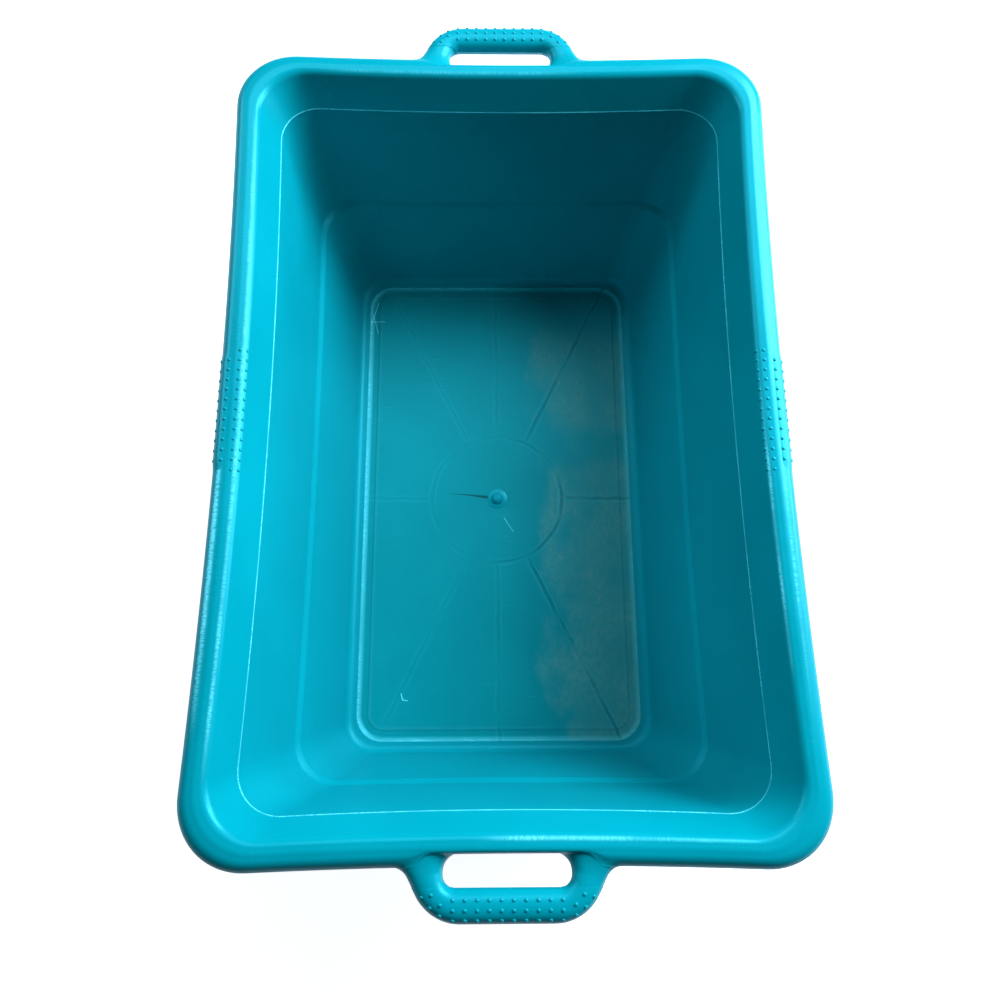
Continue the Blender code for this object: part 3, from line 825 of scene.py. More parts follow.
def read_through_group():
    """Lines of painted shade where the ring and spokes under the floor read through it, and the light edges
    of painted highlight beside them.
    """
    group, start, end = new_group(
        "rib_read_through", {"Ring Radius": RIB_RING_RADIUS, "Width": RIB_READ_WIDTH, "Diagonal": 1.1},
        ("Mask", "Edge"))
    sway = add_node(group, "ShaderNodeTexNoise", Vector=object_place(group), Scale=RIB_SWAY_SCALE)
    swayed = add_node(group, "ShaderNodeVectorMath", {"operation": "MULTIPLY_ADD"}, i0=sway.outputs["Color"],
                      i1=(RIB_SWAY, RIB_SWAY, 0), i2=object_place(group))
    x, y = (maths(group, "SUBTRACT", value, RIB_SWAY / 2) for value in plan_place(group, swayed.outputs[0]))
    radius = plan_length(group, x, y)
    across, along = maths(group, "ABSOLUTE", x), maths(group, "ABSOLUTE", y)
    sine, cosine = (maths(group, operation, start["Diagonal"]) for operation in ("SINE", "COSINE"))
    skew = difference(group, product(group, across, sine), product(group, along, cosine))
    spoke = maths(group, "MINIMUM", maths(group, "MINIMUM", across, along), skew)
    outside = ramp(group, radius, start["Ring Radius"],
                   maths(group, "ADD", start["Ring Radius"], RIB_RING_FADE))
    spoke = maths(group, "ADD", inverted(group, outside), spoke)
    nearest = maths(group, "MINIMUM", difference(group, radius, start["Ring Radius"]), spoke)
    limits = (product(group, start["Width"], share) for share in RIB_LINE_SHARES)
    line = inverted(group, ramp(group, nearest, *limits))
    beside = difference(group, nearest, product(group, start["Width"], RIB_EDGE_SHARE))
    edge = inverted(group, ramp(group, beside, 0.0, product(group, start["Width"], RIB_EDGE_SPREAD)))
    worn = ramp(group, noise(group, object_place(group), RIB_PATCH_SCALE, detail=3), *RIB_PATCH_RANGE)
    for name, value in (("Mask", line), ("Edge", edge)):
        feed(group, end[name], product(group, value, worn))
    return group


# Marks on the floor: both ends and the widths at them, in millimetres
LIGHT_SCORES = ((-152, 263, 0.5, -161, 229, 0.4), (-163, 236, 0.6, -143, 236, 0.4),
                (-158, 245, 0.4, -151, 219, 0.3), (-112, -231, 0.5, -110, -238, 0.7),
                (-110, -238, 0.7, -104, -239, 0.4), (8, -24, 0.4, 19, -41, 0.3))
DARK_SCORES = ((-9, 1.5, 2.6, -30, 4, 1.3), (-28, 4, 1.2, -58, 6.5, 0.2))


def score_mark(tree, x, y, softness, score):
    """Mask of one straight mark that tapers from one end to the other."""
    x1, y1, w1, x2, y2, w2 = (value * MILLIMETRE for value in score)
    span = Vector((x2 - x1, y2 - y1))
    right, up = maths(tree, "SUBTRACT", x, x1), maths(tree, "SUBTRACT", y, y1)
    share = raised(tree, right, span.x / span.length_squared,
                   product(tree, up, span.y / span.length_squared))
    share = add_node(tree, "ShaderNodeClamp", Value=share).outputs[0]
    aside = plan_length(tree, raised(tree, share, -span.x, right), raised(tree, share, -span.y, up))
    width = raised(tree, share, w2 - w1, w1)
    return inverted(tree, ramp(tree, aside, product(tree, width, softness), width))


def scores_group():
    """Short tapered marks on the floor: light scratches and the dark trail of the gate."""
    group, start, end = new_group("floor_scores", {"Softness": 0.5}, ("Light", "Dark"))
    x, y = plan_place(group)
    for name, scores in (("Light", LIGHT_SCORES), ("Dark", DARK_SCORES)):
        marks = [score_mark(group, x, y, start["Softness"], score) for score in scores]
        total = marks[0]
        for mark in marks[1:]:
            total = maths(group, "MAXIMUM", total, mark)
        feed(group, end[name], total)
    return group


def shader_group(name):
    """A shared group, built the first time that it is asked for."""
    makers = {"moulded_grain": moulded_grain_group, "scratches": scratches_group,
              "edge_wear": edge_wear_and_highlight_group, "floor_scores": scores_group,
              "dried_smears": smears_group, "rib_read_through": read_through_group}
    return bpy.data.node_groups.get(name) or makers[name]()


def use_group(tree, name, **values):
    """Place a shared group in a material with its own values."""
    node = tree.nodes.new("ShaderNodeGroup")
    node.node_tree = shader_group(name)
    for key, value in values.items():
        node.inputs[key.replace("_", " ")].default_value = value
    return node


def mixed(tree, factor, first, second):
    """Colour between two colours, as an output."""
    node = add_node(tree, "ShaderNodeMix", {"data_type": "RGBA"}, i0=factor, i6=first, i7=second)
    return node.outputs[2]


def shaded(colour, share):
    """A colour made darker or lighter by a share."""
    return tuple(min(1, channel * share) for channel in colour[:3]) + (1.0,)


def new_material(name, **values):
    """Plain material with values on its shader's own sockets, with its tree and that shader's inputs."""
    material = bpy.data.materials.new(name)
    material.use_nodes = True
    tree = material.node_tree
    inputs = tree.nodes["Principled BSDF"].inputs
    for key, value in values.items():
        inputs[key.replace("_", " ")].default_value = value
    return material, tree, inputs


def plastic(name):
    """Moulded plastic with grain, cloudiness, scuffs, painted highlight streaks and, on the floor, its own
    marks.
    """
    finish = FINISHES[name]
    on_floor = name == "floor_plastic"
    material, tree, shader = new_material(name, Specular_IOR_Level=SPECULAR_LEVEL,
                                          Specular_Tint=SPECULAR_TINT)
    base = colours().floor_plastic if on_floor else colours().plastic
    grain = use_group(tree, "moulded_grain").outputs
    colour = mixed(tree, grain["Mottle"], *(shaded(base, share) for share in MOTTLE_SHARES))
    height = product(tree, grain["Height"], GRAIN_HEIGHT)
    roughness = raised(tree, grain["Mottle"], MOTTLE_ROUGHNESS, finish.rough)
    marks = use_group(tree, "scratches", Direction=finish.scratch_turn, Cover=finish.scratch_cover)
    mask = marks.outputs["Mask"]
    colour = mixed(tree, product(tree, mask, finish.scratch_depth), colour, colours().scuff_and_highlight)
    roughness = raised(tree, mask, SCRATCH_ROUGHNESS, roughness)
    height = raised(tree, mask, -SCRATCH_HEIGHT, height)
    if finish.breaks:
        # Pale worn lines, and painted highlights along the rim's streaks and the floor's lip and crest
        wear = add_node(tree, "ShaderNodeAttribute", {"attribute_name": "wear"})
        rubbed_and_highlight = use_group(tree, "edge_wear", Breaks=finish.breaks)
        feed(tree, rubbed_and_highlight.inputs["Wear"], wear.outputs["Fac"])
        colour = mixed(tree, rubbed_and_highlight.outputs["Mask"], colour, colours().rubbed_and_highlight)
    if on_floor:
        colour, roughness, height = floor_marks(tree, colour, roughness, height)
    bump = add_node(tree, "ShaderNodeBump", Strength=BUMP_STRENGTH, Distance=BUMP_DISTANCE, Height=height)
    feed(tree, shader["Base Color"], colour)
    feed(tree, shader["Roughness"], roughness)
    feed(tree, shader["Normal"], bump.outputs["Normal"])
    return material


# Floor: distance across the tub over which its right part begins, how strongly the ribs' painted shade,
# painted highlight and dent mark it as (gain on the right, share on the left), and how the film tints and
# dulls it
FLOOR_RIGHT_RANGE = (-0.02, 0.05)
RIB_PAINTED_SHADE = (0.55, 0.04)
RIB_PAINTED_HIGHLIGHT = (0.07, 0.08)
RIB_DENT = (3.0, 1.0)
RIB_SHADE = 0.45
FILM_TINT = 0.8
FILM_ROUGHNESS = 0.12


def floor_marks(tree, colour, roughness, height):
    """Read-through of the ribs as painted shade and painted highlight, the dried film and the marks on the
    floor.
    """
    ribs = use_group(tree, "rib_read_through", Diagonal=spoke_angle()).outputs
    film = use_group(tree, "dried_smears").outputs["Mask"]
    marks = use_group(tree, "floor_scores").outputs
    right = ramp(tree, plan_place(tree)[0], *FLOOR_RIGHT_RANGE)
    # The ribs paint shade along their sink marks and a highlight beside them, and dent the floor
    dark, light, dent = (product(tree, ribs[name], raised(tree, right, *shares))
                         for name, shares in (("Mask", RIB_PAINTED_SHADE), ("Edge", RIB_PAINTED_HIGHLIGHT), ("Mask", RIB_DENT)))
    for share, tint in ((product(tree, film, FILM_TINT), colours().smear),
                        (dark, shaded(colours().plastic, RIB_SHADE)),
                        (light, colours().scuff_and_highlight),
                        (marks["Light"], colours().rubbed_and_highlight),
                        (marks["Dark"], colours().stain)):
        colour = mixed(tree, share, colour, tint)
    roughness = raised(tree, film, FILM_ROUGHNESS, roughness)
    return colour, roughness, maths(tree, "SUBTRACT", height, dent)


def spoke_angle():
    """Angle of a diagonal spoke from the tub's width, towards a floor corner."""
    inset = inset_of("crest") + FLOOR_CORNER
    return atan2(sizes().rim_length / 2 - inset, sizes().rim_width / 2 - inset)


def shared_plastic(name):
    """A plastic finish, built the first time that it is asked for."""
    return bpy.data.materials.get(name) or plastic(name)


# Handles

def rounded_path(points, radii):
    """Plan path from where its first rounded corner starts, with a set count of points on each stretch."""
    start, first, second, end = [Vector(point) for point in points]
    path = []
    for before, here, after, radius in ((start, first, second, radii[0]), (first, second, end, radii[1])):
        arrive = (here - before).normalized()
        leave = (after - here).normalized()
        turn = atan2(arrive.x * leave.y - arrive.y * leave.x, arrive.dot(leave))
        side = copysign(radius, turn)
        centre = here - arrive * radius * tan(abs(turn) / 2) + turned(arrive) * side
        arc = [centre - turned(rotated(arrive, turn * step / HANDLE_ARC_STEPS)) * side
               for step in range(HANDLE_ARC_STEPS + 1)]
        if path:
            path += line_between(path[-1], arc[0])
        path += arc
    return path + line_between(path[-1], end) + [end]


def line_between(start, end):
    """Points strictly between two ends."""
    return [start.lerp(end, step / HANDLE_LINE_STEPS) for step in range(1, HANDLE_LINE_STEPS)]


def squared(value, squareness):
    """A sine or cosine drawn out towards the corners of its box."""
    return copysign(abs(value) ** (2 / squareness), value)


def handle_outlines():
    """Inner and outer plan outlines of half a handle, from its root at +X to its middle."""
    recess = rim_line_at(0) - RIM_RECESS
    bar_inner = recess + sizes().hand_gap
    bar_outer = bar_inner + sizes().bar_width
    root = rim_line_at(ROOT_HALF_WIDTH) - FLARE_SINK
    hole = HOLE_WIDTH / 2
    inner = ((hole - 2 * HOLE_ROOT_ROUND, recess - FLARE_SINK), (hole, recess - FLARE_SINK),
             (hole, bar_inner), (0, bar_inner))
    flare = ROOT_HALF_WIDTH + ROOT_FLARE_ROUND
    outer = ((flare, root), (ROOT_HALF_WIDTH, root), (CORNER_HALF_WIDTH, bar_outer), (0, bar_outer))
    return (rounded_path(inner, (HOLE_ROOT_ROUND, HOLE_BAR_ROUND)),
            rounded_path(outer, (ROOT_FLARE_ROUND, BAR_CORNER_ROUND)))


def rim_edge_at(x):
    """Distance from the middle of the tub to the edge that is seen from above."""
    return rim_line_at(x) - recess_depth(x)


def rim_depth(x, y):
    """Depth of a plan point inside the rim's edge, as if the hand recess were not there."""
    flat = DOME_LEAN + OUTER_ROUND
    inside = rim_edge_at(x) - y
    recess = recess_depth(x)
    if inside < 0:
        return inside
    return inside + recess * smooth_share(inside / (flat - recess))


def top_level(depth):
    """Top of a handle at a depth inside the rim: it leaves the flat of the dome without a crease."""
    height = sizes().tub_height
    flat = DOME_LEAN + OUTER_ROUND
    share = smooth_share((flat - depth) / (flat + SADDLE_REACH))
    bar_top = height - BAR_DROP + sizes().bar_thickness / 2
    return height + (bar_top - height) * share - SADDLE_DIP * sin(pi * share)


def bottom_level(depth):
    """Underside of a handle at a depth inside the rim: it runs down to the skirt's foot."""
    bar_bottom = sizes().tub_height - BAR_DROP - sizes().bar_thickness / 2
    root_bottom = sizes().tub_height - ROOT_BOTTOM_DROP
    return root_bottom + (bar_bottom - root_bottom) * smooth_share(-depth / SADDLE_REACH)


def handle_angles():
    """Angles round a handle's section, with extra ones beside the parting lines."""
    angles = [2 * pi * step / BAR_SIDES for step in range(BAR_SIDES)]
    for line in (0, pi):
        angles += [line + PARTING_ANGLE, (line - PARTING_ANGLE) % (2 * pi)]
    return sorted(angles)


def handle_plan(inner, outer, share):
    """Plan point across a handle, which follows the rim's edge where the handle leaves it."""
    chord = inner.lerp(outer, share)
    inner_gap = inner.y - rim_edge_at(inner.x)
    outer_gap = outer.y - rim_edge_at(outer.x)
    gap = inner_gap + (outer_gap - inner_gap) * share
    hold = 1 - smooth_share(gap / SADDLE_REACH)
    return Vector((chord.x, chord.y + (rim_edge_at(chord.x) + gap - chord.y) * hold))


def rim_level(line, depth):
    """Top of the rim at a depth inside its edge, or the floor's level outside it."""
    levels = [between(before.inset, before.height, after.inset, after.height, depth)
              for before, after in zip(line, line[1:]) if before.inset <= depth < after.inset]
    return max(levels, default=0)


def filleted(first, second, reach):
    """The higher of two levels, with a fillet of a given reach between them."""
    share = min(1, max(0, 0.5 + (first - second) / (2 * reach)))
    return second + (first - second) * share + reach * share * (1 - share)


def handle_section(line, inner, outer, side, bury=0.0):
    """Section of a handle between its inner and its outer edge, which a fillet joins to the rim."""
    flat = DOME_LEAN + OUTER_ROUND
    middle = sizes().tub_height - BAR_DROP - DOME_CROWN
    squareness = section_squareness(inner, outer)
    ring = []
    for angle in handle_angles():
        across = squared(cos(angle), squareness)
        rise = squared(sin(angle), squareness)
        if abs(rise) < ON_PARTING:
            across *= 1 + PARTING_BEAD / (outer - inner).length * 2
        plan = handle_plan(inner, outer, (1 + across) / 2)
        y = plan.y - bury * (BURY_DEPTH + BURY_TOP_DEPTH * smooth_share(rise / BURY_RISE_SHARE))
        depth = rim_depth(plan.x, y)
        level = top_level(depth) - bury * BURY_DROP if rise > 0 else bottom_level(depth)
        level = middle + (level - middle) * abs(rise)
        if rise >= 0:
            hold = smooth_share(depth / FILLET_START) * smooth_share(2 * (flat - depth) / flat)
            reach = ROOT_FILLET * ((1 - rise ** 2) * hold) + LEAST_FILLET
            level = filleted(level, rim_level(line, depth) - FILLET_SINK, reach)
        ring.append(Vector((plan.x, side * y, level)))
    return ring


def section_squareness(inner, outer):
    """How far the section between two edges is drawn out towards the corners of its box."""
    spare = (outer - inner).length / sizes().bar_width - 1
    return BAR_SQUARENESS + (ROOT_SQUARENESS - BAR_SQUARENESS) * smooth_share(spare)


def handle_rings(side):
    """Sections of a whole handle, from its root at +X to its root at -X."""
    inner, outer = handle_outlines()
    line = stretch(visible_line(), "foot", "inner")
    half = [handle_section(line, inner[0], outer[0], side, 1 - step / BURY_STEPS)
            for step in range(BURY_STEPS)]
    half += [handle_section(line, near, far, side) for near, far in zip(inner, outer)]
    other = [[Vector((-point.x, point.y, point.z)) for point in ring] for ring in reversed(half[:-1])]
    return half + other


def keep_side(mesh, point, normal):
    """Cut a closed mesh by a plane and keep what lies behind the normal."""
    shape = bmesh.new()
    shape.from_mesh(mesh)
    parts = shape.verts[:] + shape.edges[:] + shape.faces[:]
    cut = bmesh.ops.bisect_plane(shape, geom=parts, plane_co=point, plane_no=normal, clear_outer=True)
    edges = [part for part in cut["geom_cut"] if isinstance(part, bmesh.types.BMEdge)]
    bmesh.ops.holes_fill(shape, edges=edges)
    bmesh.ops.recalc_face_normals(shape, faces=shape.faces)
    shape.to_mesh(mesh)
    shape.free()
    return mesh


def swell(mesh, distance):
    """Move every point of a mesh outwards."""
    for vertex, normal in zip(mesh.vertices, [vertex.normal.copy() for vertex in mesh.vertices]):
        vertex.co += normal * distance
    return mesh


def build_handle(end, side):
    """One end handle: a grip and the two arms that blend into the rim."""
    rings = handle_rings(side)
    line = rim_line_at(0) - RIM_RECESS + sizes().hand_gap - WITNESS_SETBACK
    outward = Vector((0, side, 0))
    material = shared_plastic("handle_plastic")
    grip = keep_side(loft_mesh(end + "_handle_grip", rings, False), outward * line, -outward)
    finished(end + "_handle_grip", swell(grip, GRIP_STEP), material, [end + "_handle_grip"])
    for hand, across in (("left", -1), ("right", 1)):
        name = end + "_handle_" + hand + "_arm"
        mesh = keep_side(loft_mesh(name, rings, False), outward * line, outward)
        mesh = keep_side(mesh, Vector((0, 0, 0)), Vector((-across, 0, 0)))
        finished(name, mesh, material, [name])


# Side grips and dots

def grip_lift(inset, y):
    """How far a side grip stands proud of the rim at an inset and a distance along it."""
    end = smooth_share((sizes().grip_length / 2 - abs(y)) / GRIP_END_FADE)
    return sizes().grip_height * end * smooth_share((GRIP_INNER_EDGE - inset) / GRIP_INNER_FADE)


def build_side_grip(name, side):
    """Pad that wraps the outside of a long rim at its middle and fades into it at its borders."""
    places = stretch(visible_line(), "foot", "inner")
    length = sizes().grip_length
    above, below = [], []
    for step in range(GRIP_ROWS + 1):
        y = length * (step / GRIP_ROWS - 0.5)
        top, under = [], []
        for place in places:
            lift = grip_lift(place.inset, y) - GRIP_EDGE_SINK
            top.append(rim_point(shifted(place, outwards=lift), y, side))
            under.append(rim_point(shifted(place, outwards=-GRIP_BACK_SINK), y, side))
        above.append(top)
        below.append(under)
    rings = [top + list(reversed(under)) for top, under in zip(above, below)]
    mesh = loft_mesh(name, rings, False)
    material = shared_plastic("grip_plastic")
    finished(name, mesh, material, [name], sharp=60)


def dot_tree():
    """Geometry Nodes tree that stands a low dome on every point, along its own outward direction."""
    tree = bpy.data.node_groups.get("raised_dots")
    if tree:
        return tree
    tree = bpy.data.node_groups.new("raised_dots", "GeometryNodeTree")
    for label, kind in (("Points", "Geometry"), ("Dot Radius", "Float"), ("Dot Height", "Float"),
                        ("Size Spread", "Float"), ("Seed", "Int"), ("Finish", "Material")):
        tree.interface.new_socket(label, in_out="INPUT", socket_type="NodeSocket" + kind)
    tree.interface.new_socket("Dots", in_out="OUTPUT", socket_type="NodeSocketGeometry")
    start = tree.nodes.new("NodeGroupInput").outputs
    ball = add_node(tree, "GeometryNodeMeshUVSphere", Segments=DOT_SIDES, Rings=DOT_RINGS, Radius=1.0)
    size = add_node(tree, "ShaderNodeCombineXYZ", X=start["Dot Radius"], Y=start["Dot Radius"],
                    Z=start["Dot Height"])
    flat = add_node(tree, "GeometryNodeTransform", Geometry=ball.outputs["Mesh"], Scale=size.outputs[0])
    outward = add_node(tree, "GeometryNodeInputNamedAttribute", {"data_type": "FLOAT_VECTOR"},
                       Name="outward")
    turn = add_node(tree, "FunctionNodeAlignRotationToVector", Vector=outward.outputs[0])
    least = maths(tree, "SUBTRACT", 1.0, start["Size Spread"])
    spread = add_node(tree, "FunctionNodeRandomValue", i2=least, i3=1.0, Seed=start["Seed"])
    copies = add_node(tree, "GeometryNodeInstanceOnPoints", Points=start["Points"],
                      Instance=flat.outputs[0], Rotation=turn.outputs[0], Scale=spread.outputs[1])
    real = add_node(tree, "GeometryNodeRealizeInstances", Geometry=copies.outputs[0])
    finish = add_node(tree, "GeometryNodeSetMaterial", Geometry=real.outputs[0],
                      Material=start["Finish"])
    end = tree.nodes.new("NodeGroupOutput")
    tree.links.new(finish.outputs[0], end.inputs[0])
    return tree


def grow(name, tree, mesh, values):
    """Run a Geometry Nodes tree on a mesh and return the result as a plain mesh."""
    carrier = placed(name + "_carrier", mesh)
    modifier = carrier.modifiers.new("grow", "NODES")
    modifier.node_group = tree
    for item in tree.interface.items_tree:
        if item.in_out == "INPUT" and item.name in values:
            modifier[item.identifier] = values[item.name]
    graph = bpy.context.evaluated_depsgraph_get()
    grown = bpy.data.meshes.new_from_object(carrier.evaluated_get(graph))
    carrier.modifiers.remove(modifier)
    bpy.data.objects.remove(carrier)
    grown.name = name
    return grown


def build_dots(name, spots, material):
    """Raised dots of one grip, from their (place, outward direction) pairs."""
    mesh = bpy.data.meshes.new(name + "_spots")
    mesh.from_pydata([place for place, outward in spots], [], [])
    directions = mesh.attributes.new("outward", "FLOAT_VECTOR", "POINT")
    for spot, (place, outward) in zip(directions.data, spots):
        spot.vector = outward
    values = {"Dot Radius": sizes().dot_radius, "Dot Height": sizes().dot_height,
              "Size Spread": DOT_SIZE_SPREAD, "Seed": DOT_SEED, "Finish": material}
    finished(name, grow(name, dot_tree(), mesh, values), material)


# Dots on half a handle, in millimetres: the rows of its straight bar, from the bar's inner edge,
# and places from its middle and that edge on its bend
HANDLE_DOT_ROWS = (7.4, 14.9, 22.4)
HANDLE_ROW_COUNT = 5
BEND_DOTS = ((60.5, 3.6), (53.4, 10.9), (53.6, 18.8), (68.0, 5.4), (61.2, 13.0))
# Rows of dots on a side grip: inset and number
GRIP_DOT_ROWS = ((0.0250, 13), (0.0182, 13), (0.0088, 11), (0.0015, 11))
DOT_SIZE_SPREAD = 0.12
DOT_SEED = 4
# Search for a dot's place: first lean and steps, and then the rounds of reach, lean and steps
FIRST_LEAN = radians(80)
FIRST_STEPS = 40
SEARCH_ROUNDS = ((1.2, radians(5), 24), (0.1, radians(0.5), 12))


def handle_skin(outlines, number, tilt):
    """Place and outward direction on a handle: a number along its outlines, a tilt round its section."""
    index = min(int(number), len(outlines[0]) - 2)
    inner, outer = (line[index].lerp(line[index + 1], number - index) for line in outlines)
    squareness = section_squareness(inner, outer)
    half = (outer - inner) / 2
    plan = (inner + outer) / 2 + half * squared(sin(tilt), squareness)
    middle = sizes().tub_height - BAR_DROP
    rise = top_level(rim_depth(plan.x, plan.y)) - middle
    flatness = 2 * squareness / (2 * squareness - 2)
    aside = half.normalized() * squared(sin(tilt), flatness) / half.length
    outward = Vector((aside.x, aside.y, squared(cos(tilt), flatness) / rise)).normalized()
    return Vector((plan.x, plan.y, middle + rise * squared(cos(tilt), squareness))), outward


def nearest_skin(outlines, x, y):
    """Place and outward direction on a handle at a plan point."""
    count = len(outlines[0])
    best = (count / 2, 0.0)
    for reach, lean, steps in ((count / 2 - 0.5, FIRST_LEAN, FIRST_STEPS),) + SEARCH_ROUNDS:
        number, tilt = best
        tries = [(number + reach * (2 * i / steps - 1), tilt + lean * (2 * j / steps - 1))
                 for i in range(steps + 1) for j in range(steps + 1)]
        tries = [item for item in tries if 0 <= item[0] <= count - 1]
        best = min(tries, key=lambda item: (handle_skin(outlines, *item)[0].xy - Vector((x, y))).length)
    return handle_skin(outlines, *best)


def handle_dot_spots(side):
    """Places of a handle's dots: three rows on the bar, and those that follow its bends."""
    outlines = handle_outlines()
    edge = outlines[0][-1].y
    dots = [(sizes().dot_pitch * (column + 0.5), row * MILLIMETRE)
            for row in HANDLE_DOT_ROWS for column in range(HANDLE_ROW_COUNT)]
    dots += [(x * MILLIMETRE, y * MILLIMETRE) for x, y in BEND_DOTS]
    spots = []
    for x, y in dots:
        place, outward = nearest_skin(outlines, x, edge + y)
        place += outward * GRIP_STEP
        for mirror in (1, -1):
            turn = Vector((mirror, side, 1))
            spots.append((place * turn, outward * turn))
    return spots


def grip_dot_spots(side):
    """Places of a side grip's dots: four rows over the rim."""
    places = stretch(visible_line(), "contour", "inner")
    spots = []
    for inset, count in GRIP_DOT_ROWS:
        place = min(places, key=lambda item: abs(item.inset - inset))
        for number in range(count):
            y = sizes().grip_dot_pitch * (number - (count - 1) / 2)
            outward = Vector((side * -place.normal.x, 0, place.normal.y))
            spots.append((rim_point(shifted(place, outwards=grip_lift(place.inset, y)), y, side), outward))
    return spots


# Operators

class TUB_OT_rim(bpy.types.Operator):
    """Build the domed rim with its skirt"""
    bl_idname = "tub.rim"
    bl_label = "Rim"

    def execute(self, context):
        places = stretch(visible_line(), "foot", "witness")
        material = shared_plastic("rim_plastic")
        mesh = tub_mesh("rim", places + hidden(places) + rounded_foot(places[0]), True)
        finished("rim", mesh, material, ["rim"])
        return {"FINISHED"}


class TUB_OT_walls(bpy.types.Operator):
    """Build the two courses of the wall"""
    bl_idname = "tub.walls"
    bl_label = "Walls"

    def execute(self, context):
        line = visible_line()
        material = shared_plastic("wall_plastic")
        for name, start, end in (("upper_wall", "witness", "step"), ("lower_wall", "step", "edge")):
            places = stretch(line, start, end)
            front = with_ridge(places) if name == "upper_wall" else places
            finished(name, tub_mesh(name, front + hidden(places), True), material, [name])
        return {"FINISHED"}


def with_ridge(places):
    """The stretch with a fine ridge along its first line."""
    first, second = places[0], places[1]
    slope = Vector((second.inset - first.inset, second.height - first.height)).normalized()
    ridge = [first]
    for step in range(1, RIDGE_STEPS):
        share = step / RIDGE_STEPS
        start = first._replace(name="ridge", normal=turned(slope), share=share)
        ridge.append(shifted(start, outwards=WITNESS_RIDGE_HEIGHT * sin(pi * share),
                             along=WITNESS_RIDGE_WIDTH * share))
    ridge.append(shifted(first._replace(normal=turned(slope)), along=WITNESS_RIDGE_WIDTH))
    return ridge + places[1:]


class TUB_OT_floor(bpy.types.Operator):
    """Build the floor with its lip and channel, and finish the foot below it"""
    bl_idname = "tub.floor"
    bl_label = "Floor and foot"

    def execute(self, context):
        front = stretch(visible_line(), "edge", "floor")
        underside = CHANNEL_LEVEL - FLOOR_THICKNESS
        first = shifted(front[0], outwards=-front[0].back)
        below = [first]
        for name in ("channel", "floor"):
            inset = inset_of(name)
            below.append(first._replace(name="hidden", inset=inset, height=underside,
                                        corner=plan_corner(inset)))
        material = shared_plastic("floor_plastic")
        mesh = tub_mesh("floor_pan", list(reversed(front)) + below, False)
        finished("floor_pan", mesh, material, ["floor_pan"])
        plain = shared_plastic("underside_plastic")
        for name in ("foot_ring", "base_ribs"):
            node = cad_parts[name]
            node.data.materials.clear()
            node.data.materials.append(plain)
        return {"FINISHED"}


class TUB_OT_gate_nub(bpy.types.Operator):
    """Build the round gate mark in the middle of the floor"""
    bl_idname = "tub.gate_nub"
    bl_label = "Gate nub"

    def execute(self, context):
        radius = sizes().nub_radius
        outline = list(NUB_DIMPLE)
        for step in range(NUB_STEPS + 1):
            angle = between(0, NUB_ARC[0], NUB_STEPS, NUB_ARC[1], step)
            outline.append((radius * sin(angle), NUB_BASE + NUB_RISE * cos(angle)))
        outline += [(radius * share, z) for share, z in NUB_SKIRT]
        angles = [2 * pi * step / NUB_SIDES for step in range(NUB_SIDES)]
        rings = [[Vector((x * cos(angle), x * sin(angle), FLOOR_LEVEL + z)) for angle in angles]
                 for x, z in outline]
        material = shared_plastic("nub_plastic")
        finished("gate_nub", loft_mesh("gate_nub", rings, False), material, ["gate_nub"])
        return {"FINISHED"}


class TUB_OT_handles(bpy.types.Operator):
    """Build the two end handles"""
    bl_idname = "tub.handles"
    bl_label = "End handles"

    def execute(self, context):
        for end, side in (("front", -1), ("back", 1)):
            build_handle(end, side)
        return {"FINISHED"}


class TUB_OT_side_grips(bpy.types.Operator):
    """Build the pads on the long rims"""
    bl_idname = "tub.side_grips"
    bl_label = "Side grips"

    def execute(self, context):
        for hand, side in (("left", -1), ("right", 1)):
            build_side_grip(hand + "_side_grip", side)
        return {"FINISHED"}


class TUB_OT_dots(bpy.types.Operator):
    """Build the raised dots of the handles and side grips"""
    bl_idname = "tub.dots"
    bl_label = "Raised dots"

    def execute(self, context):
        material = shared_plastic("dot_plastic")
        for end, side in (("front", -1), ("back", 1)):
            build_dots(end + "_handle_dots", handle_dot_spots(side), material)
        for hand, side in (("left", -1), ("right", 1)):
            build_dots(hand + "_side_grip_dots", grip_dot_spots(side), material)
        return {"FINISHED"}


# Camera place and turn, and the offset of its axis in the picture
CAMERA_PLACE = (-0.0221, -0.3032, 1.1416)
CAMERA_YAW = radians(-2.7)
CAMERA_TILT = radians(17.2)
CAMERA_ROLL = radians(2.5)
CAMERA_SHIFT_SHARES = (0.0075, -0.0381)

# Lamps: their turn and rise from the tub, what they aim at, how far away they stand, and their size
LAMPS = (("key_lamp", radians(40), radians(42)), ("low_lamp", radians(20), radians(20)),
         ("back_lamp", radians(100), radians(56)), ("left_lamp", radians(150), radians(30)))
LAMP_TARGET = (0, 0, 0.2)
LAMP_DISTANCE = 2.6
LAMP_SIZE = (1.4, 1.1)

# Ground: its side, its own glow in the picture, the share of that glow in reflections, and its roughness
GROUND_SIDE = 12
GROUND_GLOW = 0.86
REFLECTED_GLOW_SHARE = 0.25
GROUND_ROUGHNESS = 0.9


def ground_material():
    """Pale ground that looks white to the camera and keeps the tub's shadow."""
    material, tree, _ = new_material("ground", Base_Color=colours().floor,
                                     Roughness=GROUND_ROUGHNESS, Specular_IOR_Level=0.0)
    path = tree.nodes.new("ShaderNodeLightPath").outputs
    seen = maths(tree, "MAXIMUM", path["Is Camera Ray"],
                 product(tree, path["Is Glossy Ray"], REFLECTED_GLOW_SHARE))
    glow = add_node(tree, "ShaderNodeEmission", Strength=product(tree, seen, GROUND_GLOW))
    plain = tree.nodes["Principled BSDF"].outputs[0]
    total = add_node(tree, "ShaderNodeAddShader", i0=plain, i1=glow.outputs[0])
    feed(tree, tree.nodes["Material Output"].inputs["Surface"], total.outputs[0])
    return material


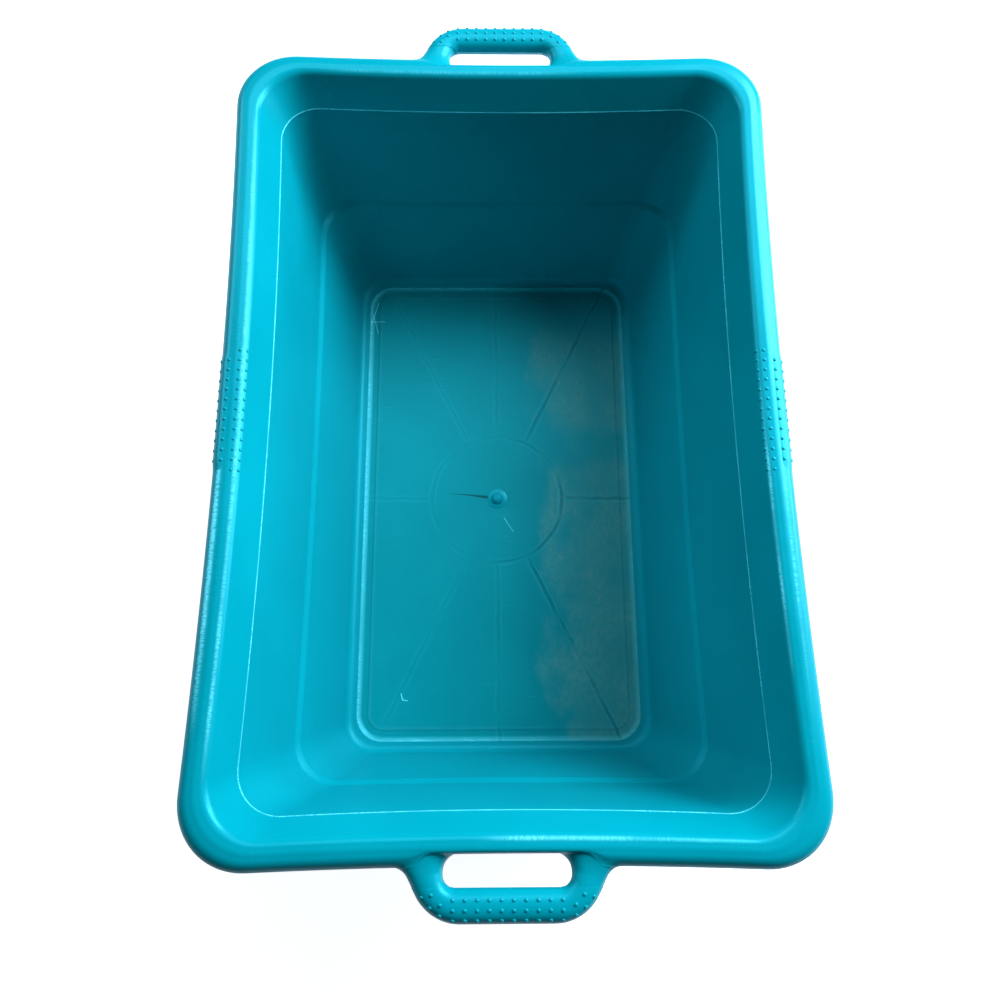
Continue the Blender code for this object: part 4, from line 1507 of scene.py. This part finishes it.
def surround():
    """World that is white to the camera and a weak even light to the tub."""
    world = bpy.data.worlds.new("surround")
    world.use_nodes = True
    bpy.context.scene.world = world
    tree = world.node_tree
    seen = tree.nodes.new("ShaderNodeLightPath").outputs["Is Camera Ray"]
    light = bpy.context.scene.stage_light
    background = tree.nodes["Background"].inputs
    feed(tree, background["Strength"], raised(tree, seen, 1 - light.surround, light.surround))
    tint = mixed(tree, seen, tuple(light.surround_colour) + (1,), (1, 1, 1, 1))
    feed(tree, background["Color"], tint)


def add_lamp(name, turn, rise, power, colour):
    """Soft rectangular lamp at a turn and a rise from the tub, aimed at it."""
    aim = Vector((cos(rise) * cos(turn), cos(rise) * sin(turn), sin(rise)))
    lamp = bpy.data.lights.new(name, "AREA")
    lamp.color = colour
    lamp.shape = "RECTANGLE"
    lamp.size, lamp.size_y = LAMP_SIZE
    lamp.energy = power
    item = placed(name, lamp)
    item.location = Vector(LAMP_TARGET) + aim * LAMP_DISTANCE
    item.rotation_euler = (-aim).to_track_quat("-Z", "Y").to_euler()


class TUB_OT_stage(bpy.types.Operator):
    """Build the ground, the light and the camera"""
    bl_idname = "tub.stage"
    bl_label = "Stage"

    def execute(self, context):
        scene = context.scene
        bpy.ops.mesh.primitive_plane_add(size=GROUND_SIDE)
        ground = context.object
        ground.name = "ground"
        ground.data.materials.append(ground_material())
        surround()
        light = scene.stage_light
        for name, turn, rise in LAMPS:
            add_lamp(name, turn, rise, getattr(light, name), light.lamp_colour)
        camera = bpy.data.cameras.new("camera")
        camera.lens = light.focal_length / MILLIMETRE
        camera.shift_x, camera.shift_y = CAMERA_SHIFT_SHARES
        item = placed("camera", camera)
        item.location = CAMERA_PLACE
        turn = Matrix.Rotation(CAMERA_YAW, 3, "Z") @ Matrix.Rotation(CAMERA_TILT, 3, "X")
        item.rotation_euler = (turn @ Matrix.Rotation(CAMERA_ROLL, 3, "Z")).to_euler()
        scene.camera = item
        scene.view_settings.view_transform = "Standard"
        return {"FINISHED"}


class TUB_PT_panel(bpy.types.Panel):
    """Buttons that build the tub"""
    bl_idname = "TUB_PT_panel"
    bl_label = "Handled tub"
    bl_space_type = "VIEW_3D"
    bl_region_type = "UI"
    bl_category = "Tub"

    def draw(self, context):
        for group in (context.scene.tub_sizes, context.scene.tub_colours, context.scene.stage_light):
            for name in group.__annotations__:
                self.layout.prop(group, name)
        for operator in OPERATORS:
            self.layout.operator(operator.bl_idname)


GROUPS = (("tub_sizes", TubSizes), ("tub_colours", TubColours), ("stage_light", StageLight))
OPERATORS = (TUB_OT_rim, TUB_OT_walls, TUB_OT_floor, TUB_OT_gate_nub, TUB_OT_handles,
             TUB_OT_side_grips, TUB_OT_dots, TUB_OT_stage)


def register():
    """Register the settings, the operators and the panel."""
    for name, group in GROUPS:
        bpy.utils.register_class(group)
        setattr(bpy.types.Scene, name, bpy.props.PointerProperty(type=group))
    for item in OPERATORS + (TUB_PT_panel,):
        bpy.utils.register_class(item)


def unregister():
    """Remove what register added."""
    for item in reversed(OPERATORS + (TUB_PT_panel,)):
        bpy.utils.unregister_class(item)
    for name, group in reversed(GROUPS):
        delattr(bpy.types.Scene, name)
        bpy.utils.unregister_class(group)


def main():
    """Build every piece, then the stage."""
    register()
    bpy.ops.tub.rim()
    bpy.ops.tub.walls()
    bpy.ops.tub.floor()
    bpy.ops.tub.gate_nub()
    bpy.ops.tub.handles()
    bpy.ops.tub.side_grips()
    bpy.ops.tub.dots()
    bpy.ops.tub.stage()


if __name__ == "__main__":
    main()
